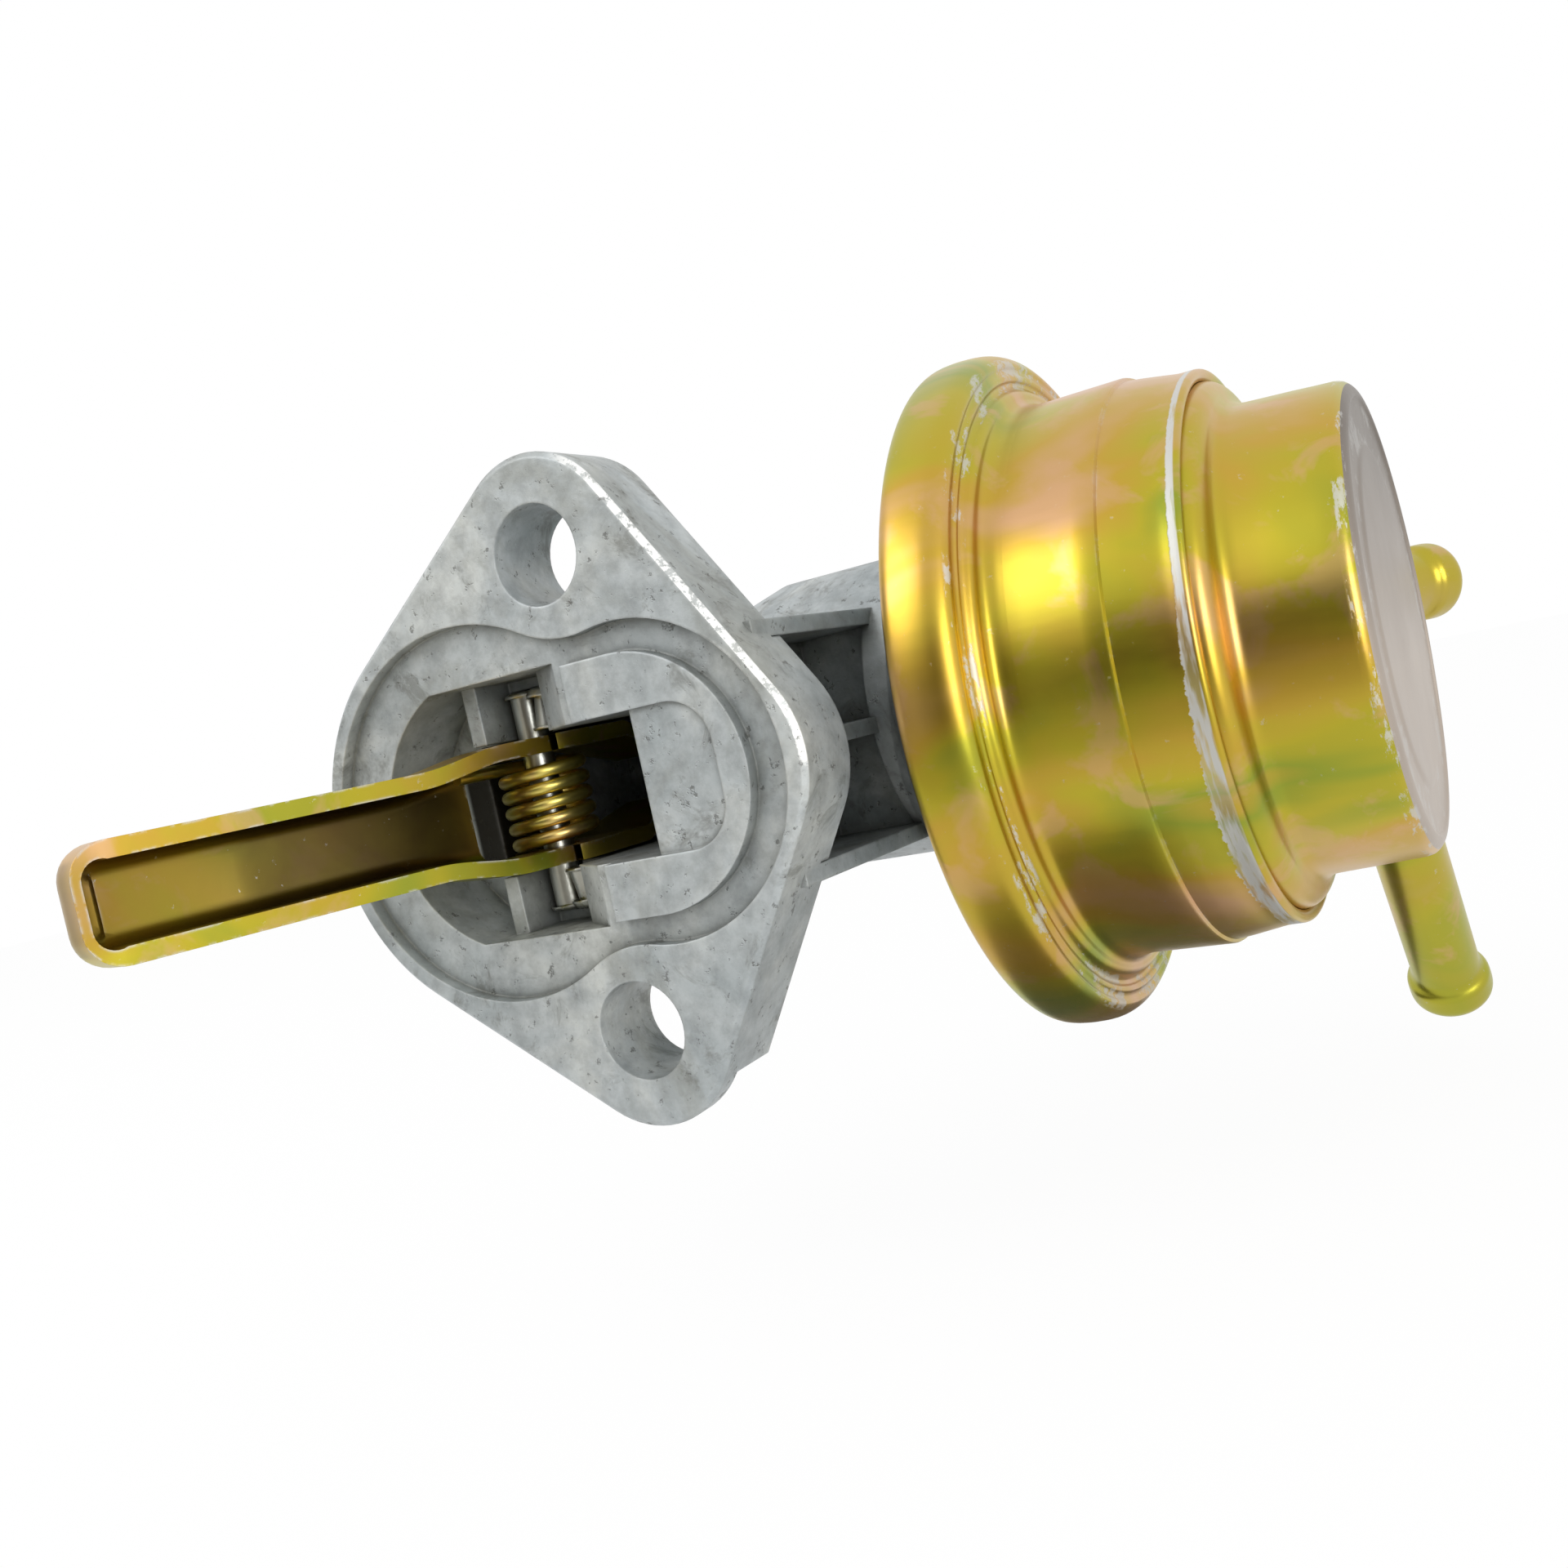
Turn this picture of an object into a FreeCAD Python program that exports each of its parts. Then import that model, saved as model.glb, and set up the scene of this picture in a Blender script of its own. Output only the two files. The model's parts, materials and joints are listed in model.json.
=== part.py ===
# Mechanical fuel pump: cast flange body, stamped rocker lever and a plated round pump head.
#
# Row frame, millimetres. The origin is midway between the two bolt holes, on the mounting face.
# -Y points out of the mounting face into the engine, +Z runs along the bolt line and is parallel
# to the lever's pivot pin, and +X runs along the pump head's axis towards its end cup.
import FreeCAD, Part
import math
import os

V = FreeCAD.Vector
AXIS_X = V(1, 0, 0)
AXIS_Y = V(0, 1, 0)
AXIS_Z = V(0, 0, 1)

# Mounting flange: two bolt tips, a wide left corner and a tight right corner
HOLE_SPACING = 42.0
HOLE_R = 4.4
FLANGE_THK = 8.0
TIP_R = 8.7
LEFT_CORNER_X = -12.0
LEFT_CORNER_R = 19.0
RIGHT_CORNER_X = 11.1
RIGHT_CORNER_R = 10.4
TIP_STEP_Z = 26.0
TIP_STEP_THK = 2.5
FLANGE_EDGE = 0.5

# Shallow two-lobed recess in the face, with a raised bearing boss inside it
RECESS_DEPTH = 1.4
LEFT_LOBE_R = 17.2
RIGHT_LOBE_X = 5.7
RIGHT_LOBE_R = 13.9
LOBE_BLEND_R = 10.0
BOSS_X = 4.9
BOSS_R = 11.3
THUMB_DEPTH = 0.5
THUMB_END_X = 13.4
THUMB_CORNER_R = 4.0

# Window for the lever: a wide pocket with the pin seats, and a narrow deep slot
WINDOW_HALF_Z = 11.8
WINDOW_RIGHT_X = -0.1
WINDOW_ARC_X = -11.5
WINDOW_ARC_R = 12.8
WINDOW_DEPTH = 10.0
SLOT_HALF_Z = 6.3
SLOT_LEFT_X = -19.0
SLOT_RIGHT_X = 5.7
SLOT_END_Y = 44.5
SLOT_CORNER_R = 3.0
LIP_THK = 1.6
LIP_TOP_Y = 5.0
RAMP_FOOT_Y = 5.5

# Lever pivot pin and its two keepers
PIVOT_X = -12.0
PIVOT_Y = 9.6
PIN_R = 2.0
PIN_HALF_Z = 10.6
KEEPER_X = -8.6
KEEPER_Y = 8.1
KEEPER_R = 1.7
KEEPER_INNER_Z = 6.6
SEAT_CLEARANCE = 0.05

# Lever: folded channel, open towards the pump head
SHEET = 1.5
ARM_LENGTH = 44.3
ARM_LEAN_DEG = 15.7
ARM_HALF_Z = 4.9
HUB_HALF_Z = 6.0
FLARE_START = 6.0
FLARE_END = 15.0
TIP_CORNER_R = 3.0
WEB_V = -4.8
HUB_R = 5.6
WEB_START = 6.0
CHEEK_TOP_HUB = 4.4
CHEEK_TOP_TIP = 0.6
PAD_RISE = 0.7
BORE_CLEARANCE = 0.06
FORK_HALF_GAP = 2.2
FORK_PAD_R = 2.4
FORK_WAIST_R = 1.8
FORK_WAIST_SHIFT = 0.3
NARROW_START = 6.5
NARROW_END = 13.0
LEVER_STROKE_DEG = 9.5

# Lever return spring, wound round the pivot pin
RETURN_WIRE_R = 0.62
RETURN_COIL_R = 3.7
RETURN_TURNS = 6
RETURN_PITCH = 1.26
RETURN_LEG = 8.0
RETURN_OVERLAP = 1.5
WIRE_SIDES = 8
HIDDEN_WIRE_SIDES = 6

# Pump head axis and the clamped stack along it
HEAD_Y = 37.0
CLAMP_X = 31.0
CLAMP_THK = 3.4
CLAMP_LAND = 5.6
DIAPHRAGM_THK = 1.0
PLATE_THK = 1.2
PLATE_MARGIN = 6.0

# Neck and housing behind the flange
NECK_R = 15.2
NECK_Z = 1.3
NECK_LEFT_X = -2.0
NECK_DOME_R = 7.0
NECK_END_X = 20.0
HOUSING_LEFT_X = -13.0
HOUSING_HALF_Z = 14.0
HOUSING_RIGHT_X = 10.5
HOUSING_BACK_Y = 48.0
HOUSING_BACK_HALF_Z = 11.0
HOUSING_BACK_LEFT_X = -10.5
HOUSING_BACK_RIGHT_X = 8.0
HOUSING_CORNER_R = 4.0
HOUSING_BACK_EDGE = 2.0
RIB_THK = 1.5
RIB_Z = 0.4
RIB_DRAFT = 1.3
RIB_INTO_NECK = 8.0
POCKET_LEFT_X = 9.0
POCKET_RIGHT_X = 17.3
POCKET_HALF_Z = 9.8
POCKET_FLOOR_Y = 27.0
RIB_REACH_X = 17.0

# Bore through the bulkhead, seal seat and spring seat
SEAL_SEAT_X = 13.0
SEAL_R = 5.0
SPRING_SEAT_X = 18.2
SPRING_SEAT_R = 12.2
SPRING_SEAT_DEPTH = 2.0
BOWL_START = 1.0
BOWL_BEND = 4.4
BOWL_STEP = 5.4
BOWL_EDGE = 1.4
BOWL_LAND = 2.2
RETAINER_THK = 0.7

# Pull rod
ROD_R = 1.6
ROD_CLEARANCE = 0.25
BUTTON_R = 4.4
BUTTON_THK = 1.5
BUTTON_GAP = 0.15
STEM_R = 1.2
RIVET_R = 2.6
RIVET_THK = 1.4

# Diaphragm spring
DIAPHRAGM_WIRE_R = 0.8
DIAPHRAGM_COIL_R = 9.4
DIAPHRAGM_TURNS = 3.5

# Upper cover: pressed shell with a rolled rim
COVER_SHEET = 1.2
RIM_R = 32.4
RIM_LIP = 3.0
RIM_PLAY = 0.05
RIM_CORNER = 1.2
BEAD_RING = 5.9
BARREL_END_X = 44.0
SEAM_STEP = 1.1
SEAM_START_X = 48.7
SEAM_END_X = 50.6

# Valve plate with one inlet and one outlet valve
VALVE_PLATE_X = 45.6
VALVE_PLATE_THK = 2.8
GASKET_THK = 0.5
VALVE_OFFSET = 10.5
VALVE_R = 5.2
VALVE_DISC_THK = 0.8
VALVE_STEM_R = 1.1
VALVE_HEAD_R = 2.8
VALVE_HEAD_THK = 0.6
VALVE_SPRING_LENGTH = 2.6
VALVE_WIRE_R = 0.22
VALVE_TURNS = 2
VALVE_PORTS = 5
VALVE_PORT_R = 0.9
VALVE_PORT_PCR = 3.0
VALVE_LINE_DEG = 62.5
DIVIDER_THK = 1.6

# End cup
CUP_SHEET = 1.1
CUP_SHOULDER_X = 51.0
CUP_WALL_X = 53.3
CUP_STEP = 4.0
CUP_DRAFT = 0.4
CUP_END_X = 62.3
CUP_CORNER_R = 1.4
CUP_FACE_DROP = 0.3
CUP_EMBOSS_MARGIN = 6.5
CUP_EMBOSS = 0.25

# Hose pipes
PIPE_R = 3.4
PIPE_BORE_R = 2.3
PIPE_X = 57.0
BEAD_R = 4.1
BEAD_LENGTH = 5.0
BEAD_LAND = 2.0
PIPE_HOLE_CLEARANCE = 0.05
INLET_ANGLE_DEG = 35.0
INLET_END = 50.5
OUTLET_Z = 2.4
OUTLET_STRAIGHT = 5.0
OUTLET_BEND_R = 10.0
OUTLET_BEND_DEG = 35.0
OUTLET_TAIL = 1.5

# Straight runs that make up a bend of a turned profile, and of the housing's corners
BEND_RUNS = 3
CORNER_RUNS = 6

# Worked-out places
BOLT_Z = HOLE_SPACING / 2
PIVOT = V(PIVOT_X, PIVOT_Y, 0)
ARM_LEAN = math.radians(ARM_LEAN_DEG)
HALF_STROKE = math.radians(LEVER_STROKE_DEG / 2)
FORK_REACH = HEAD_Y - PIVOT_Y
FORK_X = PIVOT_X + FORK_REACH * math.tan(HALF_STROKE)
BUTTON_FACE_X = FORK_X - BUTTON_GAP
LOWER_PLATE_X = CLAMP_X - PLATE_THK
UPPER_PLATE_X = CLAMP_X + DIAPHRAGM_THK
COVER_FACE_X = CLAMP_X + DIAPHRAGM_THK
CLAMP_R = RIM_R - COVER_SHEET - 2 * RIM_PLAY
RIM_LIP_R = RIM_R - RIM_LIP
BARREL_R = RIM_R - BEAD_RING
SEAM_R = BARREL_R - SEAM_STEP
CUP_PRESS_R = SEAM_R - COVER_SHEET
CUP_R = SEAM_R - CUP_STEP
CUP_MOUTH_R = CUP_R - CUP_DRAFT
CUP_EMBOSS_R = CUP_MOUTH_R - CUP_EMBOSS_MARGIN
DIAPHRAGM_SPAN_R = CLAMP_R - CLAMP_LAND
PLATE_R = DIAPHRAGM_SPAN_R - PLATE_MARGIN
GASKET_X = VALVE_PLATE_X + VALVE_PLATE_THK
CUP_START_X = GASKET_X + GASKET_THK


def save(shape, node):
    shape.exportStep("parts/" + node + ".step")


def box(x0, x1, y0, y1, z0, z1):
    return Part.makeBox(x1 - x0, y1 - y0, z1 - z0, V(x0, y0, z0))


def cylinder_x(x0, x1, radius, y=HEAD_Y, z=0.0):
    return Part.makeCylinder(radius, x1 - x0, V(x0, y, z), AXIS_X)


def cylinder_z(z0, z1, radius, x, y):
    return Part.makeCylinder(radius, z1 - z0, V(x, y, z0), AXIS_Z)


def tube_x(x0, x1, outer, inner, y=HEAD_Y, z=0.0):
    return cylinder_x(x0, x1, outer, y, z).cut(cylinder_x(x0, x1, inner, y, z))


def hull_outline(circles, place, runs=0):
    """Closed outline round a convex ring of circles, given counterclockwise as (a, b, radius).

    The corners are arcs, or that many straight runs each where runs is stated.
    """
    lines = []
    for i, (a1, b1, r1) in enumerate(circles):
        a2, b2, r2 = circles[(i + 1) % len(circles)]
        gap = math.hypot(a2 - a1, b2 - b1)
        da, db = (a2 - a1) / gap, (b2 - b1) / gap
        sine = (r1 - r2) / gap
        cosine = math.sqrt(1 - sine * sine)
        na, nb = db * cosine + da * sine, -da * cosine + db * sine
        lines.append(((a1 + r1 * na, b1 + r1 * nb), (a2 + r2 * na, b2 + r2 * nb), (na, nb)))
    edges = []
    for i, (start, end, normal) in enumerate(lines):
        a, b, r = circles[(i + 1) % len(circles)]
        following = lines[(i + 1) % len(lines)]
        first = math.atan2(normal[1], normal[0])
        turn = (math.atan2(following[2][1], following[2][0]) - first) % (2 * math.pi)
        edges.append(Part.LineSegment(place(*start), place(*end)).toShape())
        middle = place(a + r * math.cos(first + turn / 2), b + r * math.sin(first + turn / 2))
        corner = Part.Arc(place(*end), middle, place(*following[0])).toShape()
        edges += straight_runs(corner, runs) if runs else [corner]
    return Part.Wire(edges)


def straight_runs(curve, runs):
    points = curve.discretize(runs + 1)
    return [Part.LineSegment(a, b).toShape() for a, b in zip(points, points[1:])]


def xz_hull(circles, y0, y1):
    """Prism along Y with the outline of a ring of circles in the XZ plane."""
    wire = hull_outline(circles, lambda a, b: V(a, y0, b))
    return Part.Face(wire).extrude(V(0, y1 - y0, 0))


def xy_hull(circles, reach=20):
    """Prism along Z with the outline of a ring of circles in the XY plane."""
    wire = hull_outline(circles, lambda a, b: V(a, b, -reach))
    return Part.Face(wire).extrude(V(0, 0, 2 * reach))


def polygon_wire(points):
    return Part.makePolygon(list(points) + [points[0]])


def revolve_x(points, y=HEAD_Y):
    """Solid of revolution about the pump head's axis from (x, radius) points."""
    face = Part.Face(polygon_wire([V(x, y + r, 0) for x, r in points]))
    return face.revolve(V(0, y, 0), AXIS_X, 360)


def revolve_edges(edges, y=HEAD_Y):
    return Part.Face(Part.Wire(edges)).revolve(V(0, y, 0), AXIS_X, 360)


def profile_edges(items):
    """Edges of a closed (x, radius) profile; a three-point item is a bend through its middle."""
    edges = []
    for item in items:
        points = [V(x, HEAD_Y + r, 0) for x, r in item]
        if len(points) == 2:
            edges.append(Part.LineSegment(points[0], points[1]).toShape())
        else:
            bend = Part.Arc(points[0], points[1], points[2]).toShape()
            edges += straight_runs(bend, BEND_RUNS)
    return edges


def coil(radius, wire_r, sides, pitch, turn_deg, first_leg=0.0, last_leg=0.0):
    """Coil up the Z axis from the X axis in tangent half turns, with straight legs at its ends."""
    corners = []
    for i in range(sides):
        angle = 2 * math.pi * (i + 0.5) / sides
        corners.append(V(radius + wire_r * math.cos(angle), 0, wire_r * math.sin(angle)))
    section = polygon_wire(corners)
    end = section.copy()
    end.translate(V(0, -first_leg, 0))
    faces = [Part.Face(end)]
    if first_leg:
        faces += section.extrude(V(0, -first_leg, 0)).Faces
    side, height, left = 1, 0.0, turn_deg
    while left > 0:
        step = min(180.0, left)
        centre = V(0, 0, height + pitch / 4)
        tangent = V(0, side, 0)
        axis = (V(side * radius, 0, height) - centre).cross(tangent)
        faces += section.revolve(centre, axis, step).Faces
        section = section.copy()
        section.rotate(centre, axis, step)
        side, height, left = -side, height + pitch / 2, left - step
    if last_leg:
        heading = FreeCAD.Rotation(axis, step).multVec(tangent) * last_leg
        heading.z = 0
        faces += section.extrude(heading).Faces
        section = section.copy()
        section.translate(heading)
    shell = Part.Shell(faces + [Part.Face(section)])
    shell.sewShape()
    spring = Part.Solid(shell)
    if spring.Volume < 0:
        spring.reverse()
    return spring


def turn_to_x(shape, x, y=HEAD_Y, z=0.0):
    """Lays a shape built up the Z axis along +X, with its base at x."""
    moved = shape.copy()
    moved.rotate(V(0, 0, 0), AXIS_Y, 90)
    moved.translate(V(x, y, z))
    return moved


def flange():
    ring = [
        (0.0, -BOLT_Z, TIP_R),
        (RIGHT_CORNER_X, 0.0, RIGHT_CORNER_R),
        (0.0, BOLT_Z, TIP_R),
        (LEFT_CORNER_X, 0.0, LEFT_CORNER_R),
    ]
    plate = xz_hull(ring, 0, FLANGE_THK)
    rim = [e for e in plate.Edges if abs(e.BoundBox.YMin) < 1e-6 and abs(e.BoundBox.YMax) < 1e-6]
    plate = plate.makeChamfer(FLANGE_EDGE, rim)
    step = box(-TIP_R - 2, TIP_R + 2, TIP_STEP_THK, FLANGE_THK + 1, -BOLT_Z - TIP_R - 1, -TIP_STEP_Z)
    return plate.cut(step)


def face_recess():
    """Two-lobed recess less the bearing boss that stands in it."""
    depth = RECESS_DEPTH
    left = Part.makeCylinder(LEFT_LOBE_R, depth + 1, V(LEFT_CORNER_X, -1, 0), AXIS_Y)
    right = Part.makeCylinder(RIGHT_LOBE_R, depth + 1, V(RIGHT_LOBE_X, -1, 0), AXIS_Y)
    lobes = left.fuse(right).removeSplitter()
    waist = [
        e for e in lobes.Edges
        if e.BoundBox.YLength > depth and abs(e.BoundBox.ZMin) > 5 and e.BoundBox.XLength < 1e-3
        and e.BoundBox.ZLength < 1e-3 and abs(e.BoundBox.ZMin) < LEFT_LOBE_R - 1
    ]
    lobes = lobes.makeFillet(LOBE_BLEND_R, waist)
    boss = Part.makeCylinder(BOSS_R, depth, V(BOSS_X, 0, 0), AXIS_Y)
    boss = boss.cut(box(-20, WINDOW_RIGHT_X, -1, depth + 1, -20, 20))
    straight = box(WINDOW_RIGHT_X, BOSS_X, 0, depth, -BOSS_R, BOSS_R)
    return lobes.cut(boss.fuse(straight))


def thumb_recess():
    """Shallow rounded imprint beside the slot's right end."""
    r = THUMB_CORNER_R
    near, far = SLOT_HALF_Z - r, THUMB_END_X - r
    ring = [(SLOT_RIGHT_X - 2, -near, r), (far, -near, r), (far, near, r), (SLOT_RIGHT_X - 2, near, r)]
    return xz_hull(ring, -1, THUMB_DEPTH)


def window_pocket():
    """Wide pocket for the pin seats, less the lips and ramped blocks that hold the pin."""
    arc = Part.makeCylinder(WINDOW_ARC_R, WINDOW_DEPTH + 1, V(WINDOW_ARC_X, -1, 0), AXIS_Y)
    right = WINDOW_RIGHT_X
    arc = arc.common(box(-40, WINDOW_ARC_X, -1, WINDOW_DEPTH, -WINDOW_HALF_Z, WINDOW_HALF_Z))
    pocket = arc.fuse(box(WINDOW_ARC_X, right, -1, WINDOW_DEPTH, -WINDOW_HALF_Z, WINDOW_HALF_Z))
    block_x = KEEPER_X + KEEPER_R
    lip_x = PIVOT_X - PIN_R - SEAT_CLEARANCE
    for side in (1, -1):
        near, far = sorted((side * SLOT_HALF_Z, side * (WINDOW_HALF_Z + 1)))
        lip = box(lip_x - LIP_THK, lip_x, LIP_TOP_Y, WINDOW_DEPTH + 1, near, far)
        outline = [(block_x, RAMP_FOOT_Y), (right, 0), (right + 1, 0), (right + 1, 20), (block_x, 20)]
        block = Part.Face(polygon_wire([V(x, y, near) for x, y in outline]))
        pocket = pocket.cut(lip).cut(block.extrude(V(0, 0, far - near)))
    return pocket


def housing_outline(left_x, right_x, half_z, y, inset=0.0):
    """Outline of the housing at one height: round at the left and with two corners at the right."""
    r = HOUSING_CORNER_R
    ring = [(right_x - r, r - half_z, r - inset), (right_x - r, half_z - r, r - inset), (left_x, 0.0, half_z - inset)]
    return hull_outline(ring, lambda a, b: V(a, y, b), CORNER_RUNS)


def housing():
    """Block behind the flange that narrows towards the head, and the round neck."""
    back = (HOUSING_BACK_LEFT_X, HOUSING_BACK_RIGHT_X, HOUSING_BACK_HALF_Z)
    edge = HOUSING_BACK_EDGE
    block = Part.makeLoft([
        housing_outline(HOUSING_LEFT_X, HOUSING_RIGHT_X, HOUSING_HALF_Z, FLANGE_THK / 2),
        housing_outline(*back, HOUSING_BACK_Y - edge),
        housing_outline(*back, HOUSING_BACK_Y, edge),
    ], True, True)
    start, dome = NECK_LEFT_X, NECK_DOME_R
    turn = dome * (1 - math.sqrt(0.5))
    neck = revolve_edges(profile_edges([
        [(start, 0), (start, NECK_R - dome)],
        [(start, NECK_R - dome), (start + turn, NECK_R - turn), (start + dome, NECK_R)],
        [(start + dome, NECK_R), (NECK_END_X, NECK_R)],
        [(NECK_END_X, NECK_R), (NECK_END_X, 0)],
        [(NECK_END_X, 0), (start, 0)],
    ]))
    neck.translate(V(0, 0, NECK_Z))
    return block.fuse(neck)


def ribs():
    """Gusset plates between the flange's back and the neck."""
    plates = []
    front_y = FLANGE_THK / 2
    back_y = HEAD_Y - RIB_INTO_NECK
    for z in (-POCKET_HALF_Z - RIB_THK, RIB_Z - RIB_THK / 2, POCKET_HALF_Z):
        outline = [
            (HOUSING_BACK_RIGHT_X, front_y), (RIB_REACH_X, front_y),
            (RIB_REACH_X + RIB_DRAFT, back_y), (HOUSING_BACK_RIGHT_X, back_y)]
        face = Part.Face(polygon_wire([V(x, y, z) for x, y in outline]))
        plates.append(face.extrude(V(0, 0, RIB_THK)))
    return plates


def neck_pockets():
    """Weight-saving pockets in the neck's two sides, either side of the middle rib."""
    cuts = []
    far_y = 2 * HEAD_Y - POCKET_FLOOR_Y
    for y0, y1 in ((HEAD_Y - 2 * NECK_R, POCKET_FLOOR_Y), (far_y, HEAD_Y + 2 * NECK_R)):
        for z0, z1 in ((-POCKET_HALF_Z, RIB_Z - RIB_THK / 2), (RIB_Z + RIB_THK / 2, POCKET_HALF_Z)):
            cuts.append(box(POCKET_LEFT_X, POCKET_RIGHT_X, y0, y1, z0, z1))
    return cuts


def bowl():
    """Conical lower half of the pump head, with its clamping flange."""
    back = CLAMP_X - CLAMP_THK
    start = SPRING_SEAT_X - BOWL_START
    bend_x = SPRING_SEAT_X + BOWL_BEND
    edge_x = back - BOWL_EDGE
    land_r = CLAMP_R - BOWL_LAND
    cone_r = land_r - BOWL_EDGE / 2
    return revolve_edges(profile_edges([
        [(start, 0), (start, NECK_R - BOWL_EDGE)],
        [(start, NECK_R - BOWL_EDGE), (bend_x - BOWL_BEND / 2, NECK_R + BOWL_START), (bend_x, NECK_R + BOWL_STEP)],
        [(bend_x, NECK_R + BOWL_STEP), (edge_x, cone_r)],
        [(edge_x, cone_r), (back, land_r)],
        [(back, land_r), (back, CLAMP_R)],
        [(back, CLAMP_R), (CLAMP_X, CLAMP_R)],
        [(CLAMP_X, CLAMP_R), (CLAMP_X, 0)],
        [(CLAMP_X, 0), (start, 0)],
    ]))


def bowl_cavity():
    wall = CLAMP_THK + BOWL_EDGE
    return revolve_x([
        (SPRING_SEAT_X, 0), (SPRING_SEAT_X, SPRING_SEAT_R), (SPRING_SEAT_X + SPRING_SEAT_DEPTH, SPRING_SEAT_R),
        (CLAMP_X - wall - BOWL_EDGE, DIAPHRAGM_SPAN_R - 3 * BOWL_EDGE),
        (CLAMP_X - wall / 2, DIAPHRAGM_SPAN_R),
        (CLAMP_X + 1, DIAPHRAGM_SPAN_R), (CLAMP_X + 1, 0),
    ])


def body_casting():
    body = flange().cut(face_recess())
    body = body.fuse([housing(), bowl()] + ribs())
    body = body.cut(thumb_recess())
    for cut in neck_pockets():
        body = body.cut(cut)
    body = body.cut(window_pocket())
    slot = box(SLOT_LEFT_X, SLOT_RIGHT_X, -1, SLOT_END_Y, -SLOT_HALF_Z, SLOT_HALF_Z)
    deep = [e for e in slot.Edges if e.BoundBox.YMin > SLOT_END_Y - 1e-3 and e.BoundBox.ZLength > SLOT_HALF_Z]
    body = body.cut(slot.makeFillet(SLOT_CORNER_R, deep))
    body = body.cut(bowl_cavity())
    body = body.cut(cylinder_x(SLOT_RIGHT_X - 1, SPRING_SEAT_X + 1, ROD_R + ROD_CLEARANCE))
    body = body.cut(cylinder_x(SEAL_SEAT_X, SPRING_SEAT_X + 1, SEAL_R))
    for z in (-BOLT_Z, BOLT_Z):
        body = body.cut(Part.makeCylinder(HOLE_R, FLANGE_THK + 8, V(0, -1, z), AXIS_Y))
    pin_end = PIN_HALF_Z + 0.2
    body = body.cut(cylinder_z(-pin_end, pin_end, PIN_R + SEAT_CLEARANCE, PIVOT_X, PIVOT_Y))
    for z0, z1 in ((-pin_end, -SLOT_HALF_Z), (SLOT_HALF_Z, pin_end)):
        body = body.cut(cylinder_z(z0, z1, KEEPER_R + SEAT_CLEARANCE, KEEPER_X, KEEPER_Y))
    return body.removeSplitter()


def to_arm(shape):
    """Moves a shape from the arm's own frame (u along the arm, v to its open side) to the row."""
    moved = shape.copy()
    moved.rotate(V(0, 0, 0), AXIS_Z, math.degrees(math.atan2(-math.cos(ARM_LEAN), -math.sin(ARM_LEAN))))
    moved.translate(PIVOT)
    return moved


def arm_plan(inset):
    """Lever outline seen from its open side: flared hub, straight arm, rounded closed tip."""
    hub, arm = HUB_HALF_Z - inset, ARM_HALF_Z - inset
    end, r = ARM_LENGTH - inset, TIP_CORNER_R - inset
    back = -HUB_R - 1
    low = -20
    bend = (FLARE_END - FLARE_START) * 0.45

    def at(u, z):
        return V(u, low, z)

    def flare(side, forward):
        poles = [at(FLARE_START, side * hub), at(FLARE_START + bend, side * hub),
                 at(FLARE_END - bend, side * arm), at(FLARE_END, side * arm)]
        curve = Part.BezierCurve()
        curve.setPoles(poles if forward else poles[::-1])
        return curve.toShape()

    turn = r * (1 - math.sqrt(0.5))
    edges = [
        Part.LineSegment(at(back, hub), at(FLARE_START, hub)).toShape(),
        flare(1, True),
        Part.LineSegment(at(FLARE_END, arm), at(end - r, arm)).toShape(),
        Part.Arc(at(end - r, arm), at(end - turn, arm - turn), at(end, arm - r)).toShape(),
        Part.LineSegment(at(end, arm - r), at(end, r - arm)).toShape(),
        Part.Arc(at(end, r - arm), at(end - turn, turn - arm), at(end - r, -arm)).toShape(),
        Part.LineSegment(at(end - r, -arm), at(FLARE_END, -arm)).toShape(),
        flare(-1, False),
        Part.LineSegment(at(FLARE_START, -hub), at(back, -hub)).toShape(),
        Part.LineSegment(at(back, -hub), at(back, hub)).toShape(),
    ]
    return Part.Face(Part.Wire(edges)).extrude(V(0, -2 * low, 0))


def arm_side():
    """Lever seen along the pin: the cam pad on the web side and the sloping cheek edges."""
    end = ARM_LENGTH + 1
    low = -20
    pad = [V(end - 16, WEB_V, low), V(end - 8, WEB_V - PAD_RISE, low), V(end, WEB_V + PAD_RISE, low)]
    rest = [pad[2], V(end, CHEEK_TOP_TIP, low), V(0, CHEEK_TOP_HUB, low), V(0, WEB_V, low), pad[0]]
    edges = [Part.Arc(pad[0], pad[1], pad[2]).toShape()]
    edges += [Part.LineSegment(a, b).toShape() for a, b in zip(rest, rest[1:])]
    return Part.Face(Part.Wire(edges)).extrude(V(0, 0, -2 * low))


def inner_cheek(side):
    """One cheek behind the pin: a plate that narrows to a fork prong."""
    hub, fork = HUB_HALF_Z, FORK_HALF_GAP + SHEET
    y = [PIVOT_Y - HUB_R - 2, PIVOT_Y + NARROW_START, PIVOT_Y + NARROW_END, HEAD_Y + FORK_PAD_R + 2]
    outer = [(y[0], hub), (y[1], hub), (y[2], fork), (y[3], fork)]
    band = outer + [(a, z - SHEET) for a, z in outer[::-1]]
    face = Part.Face(polygon_wire([V(-40, a, side * z) for a, z in band]))
    plate = face.extrude(V(80, 0, 0))
    pad = (FORK_X + FORK_PAD_R, HEAD_Y, FORK_PAD_R)
    waist = (pad[0] + FORK_WAIST_SHIFT, HEAD_Y - BUTTON_R - FORK_WAIST_R, FORK_WAIST_R)
    outline = xy_hull([(PIVOT_X, PIVOT_Y, HUB_R), waist]).fuse(xy_hull([waist, pad]))
    return plate.common(outline)


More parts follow.
